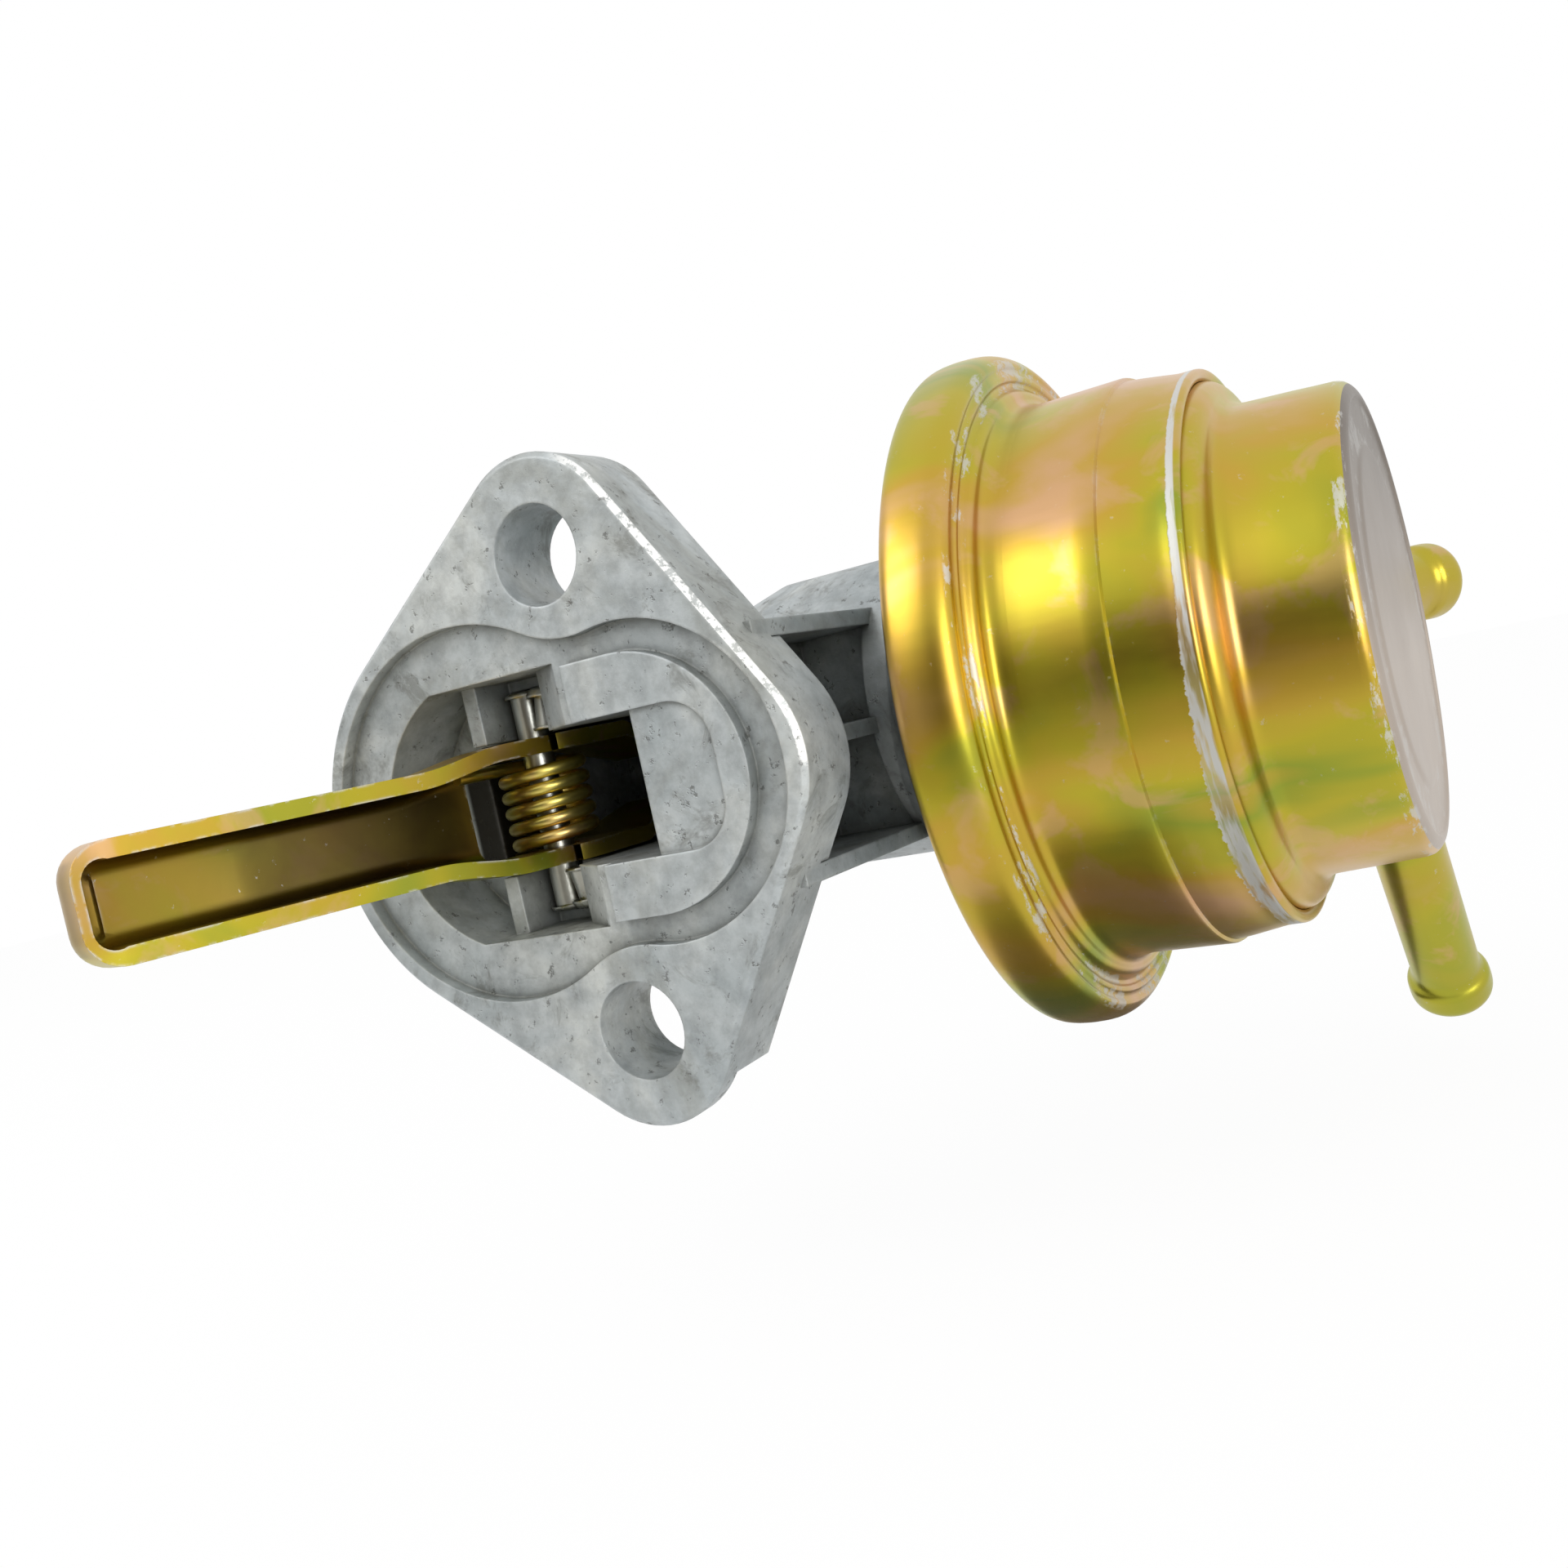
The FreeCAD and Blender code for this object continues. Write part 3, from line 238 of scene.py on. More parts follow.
class Nodes:
    """Small helper that adds shader nodes and links them."""

    def __init__(self, name):
        self.material = bpy.data.materials.new(name)
        self.material.use_nodes = True
        self.tree = self.material.node_tree
        self.shader = self.tree.nodes["Principled BSDF"]
        self.place = self.add("ShaderNodeTexCoord").outputs["Object"]

    def add(self, kind, **values):
        node = self.tree.nodes.new(kind)
        for key, value in values.items():
            setattr(node, key, value)
        return node

    def put(self, socket, value):
        if isinstance(value, bpy.types.NodeSocket):
            self.tree.links.new(value, socket)
        else:
            socket.default_value = value

    def noise(self, scale, detail, rough, stretch=(1, 1, 1), distort=0.0, shift=(0, 0, 0)):
        mapping = self.add("ShaderNodeMapping")
        self.put(mapping.inputs["Vector"], self.place)
        mapping.inputs["Scale"].default_value = stretch
        mapping.inputs["Location"].default_value = shift
        node = self.add("ShaderNodeTexNoise")
        self.put(node.inputs["Vector"], mapping.outputs[0])
        node.inputs["Scale"].default_value = scale
        node.inputs["Detail"].default_value = detail
        node.inputs["Roughness"].default_value = rough
        node.inputs["Distortion"].default_value = distort
        return node.outputs["Fac"]

    def ramp(self, value, stops):
        node = self.add("ShaderNodeValToRGB")
        self.put(node.inputs["Fac"], value)
        band = node.color_ramp
        while len(band.elements) < len(stops):
            band.elements.new(0.5)
        for element, (where, colour) in zip(band.elements, stops):
            element.position = where
            if isinstance(colour, (int, float)):
                colour = (colour, colour, colour)
            element.color = (*colour, 1)
        return node.outputs["Color"]

    def math(self, kind, a, b, clamp=False):
        node = self.add("ShaderNodeMath", operation=kind, use_clamp=clamp)
        self.put(node.inputs[0], a)
        self.put(node.inputs[1], b)
        return node.outputs[0]

    def plus(self, a, b):
        return self.math("ADD", a, b)

    def minus(self, a, b):
        return self.math("SUBTRACT", a, b)

    def times(self, a, b):
        return self.math("MULTIPLY", a, b)

    def most(self, a, b):
        return self.math("MAXIMUM", a, b)

    def mix(self, factor, a, b, kind="MIX"):
        node = self.add("ShaderNodeMix", data_type="RGBA", blend_type=kind)
        self.put(node.inputs["Factor"], factor)
        self.put(node.inputs[6], a if isinstance(a, bpy.types.NodeSocket) else (*a, 1))
        self.put(node.inputs[7], b if isinstance(b, bpy.types.NodeSocket) else (*b, 1))
        return node.outputs[2]

    def axis(self, letter):
        node = self.add("ShaderNodeSeparateXYZ")
        self.put(node.inputs[0], self.place)
        return node.outputs[letter]

    def band(self, value, low, high, soft):
        """One between low and high, with soft edges."""
        up = self.add("ShaderNodeMapRange", interpolation_type="SMOOTHSTEP")
        self.put(up.inputs["Value"], value)
        up.inputs["From Min"].default_value = low - soft
        up.inputs["From Max"].default_value = low + soft
        down = self.add("ShaderNodeMapRange", interpolation_type="SMOOTHSTEP")
        self.put(down.inputs["Value"], value)
        down.inputs["From Min"].default_value = high + soft
        down.inputs["From Max"].default_value = high - soft
        return self.times(up.outputs[0], down.outputs[0])

    def bevel(self, radius):
        """Normal as if the edges were rounded."""
        node = self.add("ShaderNodeBevel", samples=BEVEL_SAMPLES)
        node.inputs["Radius"].default_value = radius
        return node.outputs[0]

    def edge(self, radius, low, high):
        """One near outer and inner edges, nought on flat and gently curved surfaces."""
        true = self.add("ShaderNodeNewGeometry").outputs["Normal"]
        dot = self.add("ShaderNodeVectorMath", operation="DOT_PRODUCT")
        self.put(dot.inputs[0], self.bevel(radius))
        self.put(dot.inputs[1], true)
        spread = self.add("ShaderNodeMapRange")
        self.put(spread.inputs["Value"], dot.outputs["Value"])
        spread.inputs["From Min"].default_value = high
        spread.inputs["From Max"].default_value = low
        return spread.outputs[0]

    def occlusion(self, reach):
        """How open the surroundings are within a distance: nought deep in a corner."""
        node = self.add("ShaderNodeAmbientOcclusion", samples=OCCLUSION_SAMPLES)
        node.inputs["Distance"].default_value = reach
        return node.outputs["AO"]

    def bump(self, height, strength, distance, normal=None):
        node = self.add("ShaderNodeBump")
        node.inputs["Strength"].default_value = strength
        node.inputs["Distance"].default_value = distance
        self.put(node.inputs["Height"], height)
        if normal is not None:
            self.put(node.inputs["Normal"], normal)
        return node.outputs[0]

    def finish(self, **sockets):
        for key, value in sockets.items():
            self.put(self.shader.inputs[key.replace("_", " ")], value)
        return self.material


# Colours of the plating, and of the painted shade inside the lever's channel
GOLD = (0.54, 0.34, 0.03)
YELLOW = (0.47, 0.39, 0.015)
GREEN = (0.29, 0.33, 0.02)
PINK = (0.62, 0.36, 0.17)
ZINC = (0.62, 0.62, 0.60)
PIPE_TINT = (0.42, 0.38, 0.02)
SPRING_TINT = (0.85, 0.72, 0.20)
CHANNEL_SHADE_DARK = (0.085, 0.045, 0.008)
CHANNEL_SHADE_LIGHT = (0.12, 0.08, 0.01)
DISC_DARK = (0.40, 0.34, 0.29)
DISC_LIGHT = (0.53, 0.46, 0.39)

# Colours of the casting, of what lies on it, and of the shade painted in its corners and in the lever's
# slot
CAST_DARK = (0.34, 0.375, 0.385)
CAST_MIDDLE = (0.44, 0.47, 0.475)
CAST_LIGHT = (0.55, 0.57, 0.55)
STAIN = (0.20, 0.195, 0.15)
SMUDGE = (0.14, 0.14, 0.12)
PIT = (0.10, 0.10, 0.09)
CORNER_SHADE_COLOUR = (0.09, 0.095, 0.08)
SLOT_PAINTED_SHADE = (0.02, 0.017, 0.012)
RUBBED_CAST = (0.86, 0.86, 0.84)

# Bands that the materials mark on the pieces: low end, high end and softness, in metres
CHANNEL_DEPTH_M = (-0.0042, 0.0, 0.0012)
CHANNEL_WIDTH_M = (-0.0037, 0.0037, 0.0003)
STRIP_START_M = (0.0499, 0.06, 0.00006)
STRIP_STOP_M = (0.0, 0.0501, 0.00006)
RIM_CREST_M = (0.0331, 0.0337, 0.0001)
CUP_LIP_M = (0.0610, 0.0620, 0.0001)
SLOT_X_M = (-0.022, 0.0058, 0.0003)
SLOT_Y_M = (0.0012, 0.014, 0.0008)
SLOT_Z_M = (-0.0061, 0.0061, 0.0004)
RUBBED_SIDE_M = (0.0178, 0.09, 0.0008)
RUBBED_Y_M = (-0.01, 0.0006, 0.0002)
CUP_FACE_M = 0.06185

# The same kind of band for the Y part of the normal, which picks the flange's chamfer
CHAMFER_NORMAL_Y = (-0.92, -0.4, 0.04)

# The worn strip on the cover: its width, and how ragged its edge is
STRIP_WIDTH_M = 0.0022
STREAK_M = 0.0018
ISLAND_M = 0.0014

# How far under the axis the cover's and the disc's height start, and the scale that takes it to about one
COVER_FOOT_M = 0.026
COVER_HEIGHT_SCALE = 19.0
DISC_FOOT_M = 0.02
DISC_HEIGHT_SCALE = 25.0

# The casting's rubbed side, as the X and Z parts of a direction, and the painted shade in its corners as
# reach in metres, openness where it is full and where it ends, and strength
RUBBED_WAY_X = 0.86
RUBBED_WAY_Z = 0.5
CORNER_SHADES = ((0.0035, 0.45, 0.85, 0.45), (0.0009, 0.45, 0.80, 0.6))

# Distances of the shading, in metres
PLATE_EDGE_M = 0.0005
PLATE_BUMP_M = 0.00012
CAST_EDGE_M = 0.0009
CAST_BUMP_M = 0.00025
ROUNDING_M = 0.0003
STEEL_BUMP_M = 0.00008
SOFT_BUMP_M = 0.0001


def channel_painted_shade(look, colour):
    """Painted shade: darker, browner plating colour inside the lever's channel in place of its dark
    reflections, most of all towards the pin.
    """
    lean_x, lean_y = math.cos(ARM_LEAN), math.sin(ARM_LEAN)
    x = look.minus(look.axis("X"), PIVOT.x * MM)
    y = look.minus(look.axis("Y"), PIVOT.y * MM)
    height = look.minus(look.times(x, lean_x), look.times(y, lean_y))
    reach = look.plus(look.times(x, lean_y), look.times(y, lean_x))
    across = look.band(look.axis("Z"), *CHANNEL_WIDTH_M)
    inside = look.times(look.band(height, *CHANNEL_DEPTH_M), across)
    fade = look.ramp(look.times(reach, -1 / (ARM_LENGTH * MM)), [(0.25, 1.0), (0.62, 0.9), (0.95, 0.45)])
    shade_colour = look.ramp(look.noise(130, 4, 0.6, distort=0.5), [(0.35, CHANNEL_SHADE_DARK), (0.65, CHANNEL_SHADE_LIGHT)])
    return look.mix(look.times(inside, fade), colour, shade_colour)


def scuffs(look):
    """Short rubbed patches, longer along the rims than across them."""
    patches = look.noise(380, 6, 0.75, stretch=(2, 0.6, 0.6), shift=(0, 8, 1))
    return look.ramp(patches, [(0.53, 0.0), (0.58, 1.0)])


def seam_wear(look, bare):
    """Bare, scratched strip beside the press seat, widest below the middle, and a scuffed rim."""
    up_the_side = look.times(look.plus(look.axis("Z"), COVER_FOOT_M), COVER_HEIGHT_SCALE)
    fall = look.ramp(up_the_side, [(0.0, 0.3), (0.16, 0.72), (0.42, 0.55), (0.60, 0.24), (1.0, 0.12)])
    width = look.times(fall, STRIP_WIDTH_M)
    streaks = look.minus(look.noise(560, 5, 0.75, stretch=(0.35, 1, 1), shift=(5, 2, 0)), 0.5)
    islands = look.minus(look.noise(1500, 4, 0.7, shift=(2, 2, 0)), 0.5)
    ragged = look.plus(look.times(streaks, STREAK_M), look.times(islands, ISLAND_M))
    place = look.plus(look.axis("X"), look.plus(look.times(ragged, fall), width))
    strip = look.times(look.band(place, *STRIP_START_M), look.band(look.axis("X"), *STRIP_STOP_M))
    scratches = look.noise(1300, 3, 0.6, stretch=(1, 0.12, 0.12), shift=(7, 3, 1))
    lines = look.ramp(scratches, [(0.40, 0.25), (0.52, 0.95)])
    crest = look.times(look.band(look.axis("X"), *RIM_CREST_M), scuffs(look))
    bare = look.most(bare, look.times(strip, lines))
    return look.most(bare, look.times(crest, 0.7))


def lip_wear(look, bare):
    """Scuffed lip round the end cup's disc."""
    lip = look.times(look.band(look.axis("X"), *CUP_LIP_M), scuffs(look))
    return look.most(bare, look.times(lip, 0.7))


def disc_film_and_shade(look, face, colour):
    """Pale, pinkish film on the end cup's disc, with painted shade that darkens it towards its upper side.
    """
    pale = look.mix(look.noise(70, 4, 0.6), DISC_DARK, DISC_LIGHT)
    # Painted shade: the disc is darker towards its upper side
    up_the_disc = look.times(look.plus(look.axis("Z"), DISC_FOOT_M), DISC_HEIGHT_SCALE)
    shade = look.ramp(up_the_disc, [(0.40, 1.0), (0.90, 0.45)])
    pale = look.mix(1.0, pale, shade, "MULTIPLY")
    return look.mix(face, colour, pale)


def chromate(name, wear, seam=False, disc=False, channel=False, tint=None):
    """Yellow-chromated zinc plate: drifting iridescence, fine scratches, and bare worn spots."""
    look = Nodes(name)
    drift = look.noise(55, 3, 0.5, stretch=(0.6, 1, 1), distort=0.6)
    tone = look.ramp(drift, [(0.30, PINK), (0.42, GOLD), (0.52, YELLOW), (0.62, GREEN), (0.72, GOLD)])
    if tint:
        tone = look.mix(0.6, tone, tint)
    spots = look.ramp(look.noise(150, 4, 0.6, distort=0.4, shift=(3, 1, 2)), [(0.36, 1.0), (0.46, 0.0)])
    colour = look.mix(look.times(spots, 0.5), tone, PINK)
    # Painted shade inside the lever's channel
    if channel:
        colour = channel_painted_shade(look, colour)

    fleck = look.ramp(look.noise(900, 5, 0.7), [(0.66, 0.0), (0.70, 1.0)])
    rubbed = look.ramp(look.noise(420, 5, 0.65, distort=0.3, shift=(1, 5, 0)), [(0.50, 0.0), (0.60, 1.0)])
    edge = look.times(look.edge(PLATE_EDGE_M, 0.90 - 0.12 * wear, 0.98), rubbed)
    bare = look.times(look.most(look.times(fleck, 0.5), edge), wear)
    if seam:
        bare = seam_wear(look, bare)
    if disc:
        face = look.math("GREATER_THAN", look.axis("X"), CUP_FACE_M)
        bare = lip_wear(look, bare)
        # Pale film on the disc, with painted shade towards its upper side
        colour = disc_film_and_shade(look, face, colour)
    colour = look.mix(bare, colour, ZINC)

    smear = look.noise(120, 5, 0.65, stretch=(0.25, 1, 1))
    rough = look.plus(look.times(smear, 0.24), 0.22)
    if disc:
        rough = look.plus(rough, look.times(face, 0.18))
    rough = look.math("ADD", rough, look.times(bare, 0.25), clamp=True)
    scratches = look.noise(1100, 3, 0.5, stretch=(0.12, 1, 1), distort=0.2)
    dents = look.noise(45, 2, 0.4)
    height = look.plus(look.times(scratches, 0.12), look.times(dents, 0.9))
    height = look.minus(height, look.times(bare, 0.25))
    normal = look.bump(height, 0.35, PLATE_BUMP_M)
    return look.finish(Base_Color=colour, Metallic=1.0, Roughness=rough, Normal=normal,
                       Coat_Weight=0.25, Coat_IOR=1.8, Coat_Roughness=0.3)


def slot_shade(look, colour):
    """Painted black shade for the depth of the lever's slot, limited so that it doesn't reach the casting's
    outside.
    """
    across = look.times(look.band(look.axis("Z"), *SLOT_Z_M), look.band(look.axis("X"), *SLOT_X_M))
    inside = look.times(across, look.band(look.axis("Y"), *SLOT_Y_M))
    return look.mix(look.times(inside, 0.98), colour, SLOT_PAINTED_SHADE)


def rubbed_edges(look, colour):
    """Edges rubbed faintly bright, and the flange's upper right chamfer rubbed to a ragged line."""
    rub = look.ramp(look.noise(330, 6, 0.7, distort=0.4, shift=(9, 0, 3)), [(0.40, 0.0), (0.55, 1.0)])
    side = look.plus(look.times(look.axis("X"), RUBBED_WAY_X), look.times(look.axis("Z"), RUBBED_WAY_Z))
    facing = look.add("ShaderNodeSeparateXYZ")
    look.put(facing.inputs[0], look.add("ShaderNodeNewGeometry").outputs["Normal"])
    chamfer = look.band(facing.outputs["Y"], *CHAMFER_NORMAL_Y)
    worn = look.times(look.band(side, *RUBBED_SIDE_M), look.band(look.axis("Y"), *RUBBED_Y_M))
    chips = look.ramp(look.noise(900, 5, 0.75, shift=(3, 8, 2)), [(0.44, 0.0), (0.50, 1.0)])
    worn = look.times(worn, look.plus(look.times(chips, 0.8), 0.2))
    faint = look.times(look.times(look.edge(CAST_EDGE_M, 0.84, 0.98), rub), 0.10)
    strong = look.times(worn, look.most(chamfer, look.times(faint, 5.0)))
    return look.mix(look.most(faint, strong), colour, RUBBED_CAST)


def casting(name):
    """Die-cast aluminium: cloudy grey, fine pits, dark stains, painted shade in the corners and in the
    lever's slot, and one worn edge.
    """
    look = Nodes(name)
    cloud = look.noise(70, 6, 0.62, distort=0.5)
    fine = look.noise(420, 5, 0.7)
    base = look.ramp(cloud, [(0.32, CAST_DARK), (0.5, CAST_MIDDLE), (0.66, CAST_LIGHT)])
    grain = look.ramp(fine, [(0.35, 0.80), (0.6, 1.08)])
    colour = look.mix(1.0, base, grain, "MULTIPLY")
    stain = look.ramp(look.noise(34, 5, 0.7, distort=1.2, shift=(2, 2, 5)), [(0.54, 0.0), (0.66, 1.0)])
    colour = look.mix(look.times(stain, 0.35), colour, STAIN)
    smudge = look.ramp(look.noise(150, 5, 0.75, distort=0.8, shift=(1, 6, 2)), [(0.56, 0.0), (0.66, 1.0)])
    colour = look.mix(look.times(smudge, 0.5), colour, SMUDGE)
    pits = look.ramp(look.noise(700, 4, 0.75, shift=(4, 4, 4)), [(0.34, 1.0), (0.40, 0.0)])
    colour = look.mix(look.times(pits, 0.65), colour, PIT)
    # Painted shade in the corners, darkest where the surroundings are closest
    for reach, closed, open_from, strength in CORNER_SHADES:
        dark = look.ramp(look.occlusion(reach), [(closed, 1.0), (open_from, 0.0)])
        colour = look.mix(look.times(dark, strength), colour, CORNER_SHADE_COLOUR)
    # Painted black shade in the depth of the lever's slot
    colour = slot_shade(look, colour)
    colour = rubbed_edges(look, colour)

    rough = look.plus(look.times(fine, 0.25), 0.36)
    height = look.plus(look.times(fine, 0.5), look.times(cloud, 0.5))
    height = look.minus(height, pits)
    normal = look.bump(height, 0.45, CAST_BUMP_M, look.bevel(ROUNDING_M))
    return look.finish(Base_Color=colour, Metallic=0.5, Roughness=rough, Normal=normal)


def bright_steel(name):
    """Bright steel of the pin, keepers, rod, seal retainer, diaphragm plates and inner springs."""
    look = Nodes(name)
    cloud = look.noise(260, 5, 0.6, stretch=(1, 1, 0.3))
    colour = look.ramp(cloud, [(0.35, (0.44, 0.45, 0.42)), (0.65, (0.66, 0.66, 0.60))])
    rough = look.plus(look.times(cloud, 0.3), 0.15)
    normal = look.bump(look.noise(1500, 3, 0.6), 0.2, STEEL_BUMP_M, look.bevel(ROUNDING_M))
    return look.finish(Base_Color=colour, Metallic=1.0, Roughness=rough, Normal=normal)


def rubber(name):
    """Black rubber of the seals, the diaphragm and the valve discs."""
    look = Nodes(name)
    cloud = look.noise(400, 5, 0.6)
    colour = look.ramp(cloud, [(0.35, (0.018, 0.018, 0.018)), (0.65, (0.04, 0.04, 0.038))])
    rough = look.plus(look.times(cloud, 0.2), 0.5)
    return look.finish(Base_Color=colour, Roughness=rough, Normal=look.bump(cloud, 0.3, SOFT_BUMP_M))


def plastic(name):
    """Dark plastic of the valve plate and the valve stems."""
    look = Nodes(name)
    cloud = look.noise(300, 4, 0.5)
    colour = look.ramp(cloud, [(0.35, (0.07, 0.065, 0.06)), (0.65, (0.11, 0.105, 0.10))])
    rough = look.plus(look.times(cloud, 0.2), 0.4)
    return look.finish(Base_Color=colour, Roughness=rough, Normal=look.bump(cloud, 0.2, SOFT_BUMP_M))


metal_casting = casting("cast_aluminium")
metal_cover = chromate("chromate_cover", 0.5, seam=True)
metal_cup = chromate("chromate_cup", 0.5, disc=True)
metal_pipe = chromate("chromate_pipe", 0.6, tint=PIPE_TINT)
metal_lever = chromate("chromate_lever", 1.0, channel=True)
metal_spring = chromate("chromate_spring", 0.1, tint=SPRING_TINT)
metal_bright = bright_steel("bright_steel")
soft_rubber = rubber("black_rubber")
dark_plastic = plastic("dark_plastic")

SLOT_MATERIALS = {
    "cast_aluminium": metal_casting,
    "chromated_steel": metal_pipe,
    "pale_plated_steel": metal_cup,
    "bright_steel": metal_bright,
    "sealing_rubber": soft_rubber,
    "valve_plastic": dark_plastic,
}
for part in frame["record"]["subparts"]:
    solid = frame["nodes"][part["node"]]
    solid.data.materials.clear()
    solid.data.materials.append(SLOT_MATERIALS[part["material_slot"]])

# Upper cover: rolled rim, two ring beads, barrel, taper and the worn press seat
COVER_OUTSIDE = [
    (27.5, 29.45), (27.42, 29.5), (27.38, 29.9), (27.38, 31.0), (27.55, 31.75), (28.1, 32.2), (29.0, 32.38),
    (30.4, 32.38), (31.8, 32.2), (32.8, 31.75), (33.35, 31.15), (33.45, 30.75), (33.32, 30.4),
    (33.42, 30.05), (33.6, 29.75), (33.55, 29.4), (33.3, 29.15), (33.25, 28.85), (33.5, 28.5),
    (33.95, 28.2), (34.2, 27.8), (34.3, 27.3), (34.65, 26.85), (35.3, 26.6), (36.2, 26.5)]
COVER_BARREL = [(37.5, 26.5), (40.0, 26.5), (42.0, 26.5), (43.75, 26.5), (43.95, 26.42), (44.1, 26.15)]
COVER_SEAT = [
    (45.5, 25.95), (47.2, 25.66), (48.5, 25.44), (49.4, 25.4), (50.1, 25.38), (50.45, 25.2), (50.58, 24.85),
    (50.45, 24.5), (50.2, 24.25)]
COVER_INSIDE = [
    (45.6, 24.2), (43.0, 25.3), (33.0, 25.3), (32.2, 26.0), (32.0, 27.0), (32.0, 31.15), (27.5, 31.15)]
cover_outline = spline(COVER_OUTSIDE, CURVE_STEPS) + straight(COVER_BARREL)
cover_outline += spline(COVER_SEAT, SMALL_CURVE_STEPS) + straight(COVER_INSIDE)
turned("upper_cover_shell", cover_outline, metal_cover, ("upper_cover",))

# End cup: shoulder, wall, rounded corner with a thin lip, flat end with a faint ring
CUP_OUTSIDE = [
    (48.95, 24.15), (49.8, 24.2), (50.4, 24.15), (51.0, 23.95), (51.5, 23.5), (51.85, 22.9), (52.05, 22.3),
    (52.35, 21.8), (52.9, 21.5), (53.6, 21.4)]
CUP_WALL = [(55.5, 21.3), (57.5, 21.2), (59.5, 21.07)]
CUP_CORNER = [
    (60.8, 21.0), (61.4, 20.85), (61.85, 20.5), (62.15, 20.05), (62.28, 19.6), (62.25, 19.35),
    (62.08, 19.15), (62.0, 18.9)]
CUP_FACE = [(62.0, 17.5), (62.0, 15.6), (62.04, 15.2), (62.16, 14.85), (62.22, 14.5), (62.22, 13.8)]
CUP_INSIDE = [
    (62.22, 8.0), (62.22, 0.05), (60.9, 0.05), (60.9, 19.8), (53.3, 20.3), (51.0, 23.0), (48.95, 23.0)]
cup_outline = spline(CUP_OUTSIDE, CURVE_STEPS) + straight(CUP_WALL) + spline(CUP_CORNER, CURVE_STEPS)
cup_outline += spline(CUP_FACE, SMALL_CURVE_STEPS) + straight(CUP_INSIDE)
turned("end_cup_shell", cup_outline, metal_cup, ("end_cup",))

# Hose pipes with beaded ends and open mouths: distance past the pipe's end, and radius
BEAD_OUTSIDE = [
    (0.0, 3.4), (0.5, 3.43), (1.0, 3.62), (1.4, 3.9), (1.8, 4.06), (2.4, 4.1), (3.3, 4.1), (3.9, 4.0),
    (4.4, 3.72), (4.75, 3.35), (4.95, 2.95), (5.0, 2.6), (4.9, 2.36), (4.6, 2.3)]
BEAD_BORE = [(2.0, 2.3), (-6.0, 2.3)]


def pipe(name, path, nodes):
    """Pipe along a path that ends where the bead starts."""
    loops = rings(path, PIPE_R, PIPE_SIDES)
    end = path[-1]
    way = (end - path[-2]).normalized()
    side = (loops[-1][0] - end).normalized()
    other = way.cross(side)
    for along, radius in spline(BEAD_OUTSIDE, SMALL_CURVE_STEPS) + straight(BEAD_BORE):
        loops.append(ring(end + way * along, side, other, radius, PIPE_SIDES))
    tube(name, loops, metal_pipe, nodes)


inlet_way = Vector((0, math.sin(INLET_TURN), -math.cos(INLET_TURN)))
inlet_root = Vector((PIPE_X, HEAD_Y, 0))
inlet_path = line(inlet_root + inlet_way * PIPE_ROOT, inlet_root + inlet_way * INLET_END, INLET_STEPS)
pipe("inlet_pipe_tube", inlet_path, ("inlet_pipe",))

bend_y = HEAD_Y + CUP_WALL_R + OUTLET_STRAIGHT
outlet_root = Vector((PIPE_X, HEAD_Y + PIPE_ROOT, OUTLET_Z))
outlet_path = line(outlet_root, Vector((PIPE_X, bend_y, OUTLET_Z)), OUTLET_STEPS)
for i in range(1, BEND_STEPS + 1):
    a = BEND * i / BEND_STEPS
    bend_x = PIPE_X + BEND_R * (1 - math.cos(a))
    outlet_path.append(Vector((bend_x, bend_y + BEND_R * math.sin(a), OUTLET_Z)))
outlet_way = Vector((math.sin(BEND), math.cos(BEND), 0))
outlet_path.append(outlet_path[-1] + outlet_way * OUTLET_END)
pipe("outlet_pipe_tube", outlet_path, ("outlet_pipe",))


def rod_z(name, z0, z1, radius, x, y, dome0, dome1, nodes):
    """Bright rod along Z whose ends are rounded by the given radii."""
    profile = []
    for z, dome, way in ((z0, dome0, 1), (z1, dome1, -1)):
        half = [(z, 0.0)]
        for i in range(DOME_STEPS + 1):
            a = math.pi / 2 * i / DOME_STEPS
            half.append((z + way * dome * (1 - math.sin(a)), radius - dome * (1 - math.cos(a))))
        profile += half if way > 0 else half[::-1]
    verts = []
    for k in range(ROD_SIDES):
        a = 2 * math.pi * k / ROD_SIDES
        verts += [(x + r * math.cos(a), y + r * math.sin(a), z) for z, r in profile]
    faces = column_faces(ROD_SIDES, len(profile), False)
    make_piece(name, verts, faces, metal_bright, "housing", nodes)


# Pivot pin and its two keepers, whose outer ends are more rounded than their inner ends
PIN_DOME = 0.5
KEEPER_OUTER_DOME = 0.9
KEEPER_INNER_DOME = 0.3
rod_z("pivot_pin_rod", -PIN_HALF_Z, PIN_HALF_Z, PIN_R, PIVOT.x, PIVOT.y,
      PIN_DOME, PIN_DOME, ("pivot_pin",))
rod_z("keeper_upper", KEEPER_INNER_Z, PIN_HALF_Z, KEEPER_R, KEEPER_X, KEEPER_Y,
      KEEPER_INNER_DOME, KEEPER_OUTER_DOME, ("pin_keepers",))
rod_z("keeper_lower", -PIN_HALF_Z, -KEEPER_INNER_Z, KEEPER_R, KEEPER_X, KEEPER_Y,
      KEEPER_OUTER_DOME, KEEPER_INNER_DOME, ("pin_keepers",))

# Lever return spring: tight coil on the pivot pin, one leg to the slot's wall and one on the web
COIL_R = 3.7
WIRE_R = 0.62
PITCH = 1.52
TURNS = 5
COIL_STEPS = 220
SLOT_WALL = 7.0
LEG_GAP = 0.05
WALL_LEG = 8.0
WEB_LEG = 7.5
LEG_START = 0.6
LEG_STEPS = 4


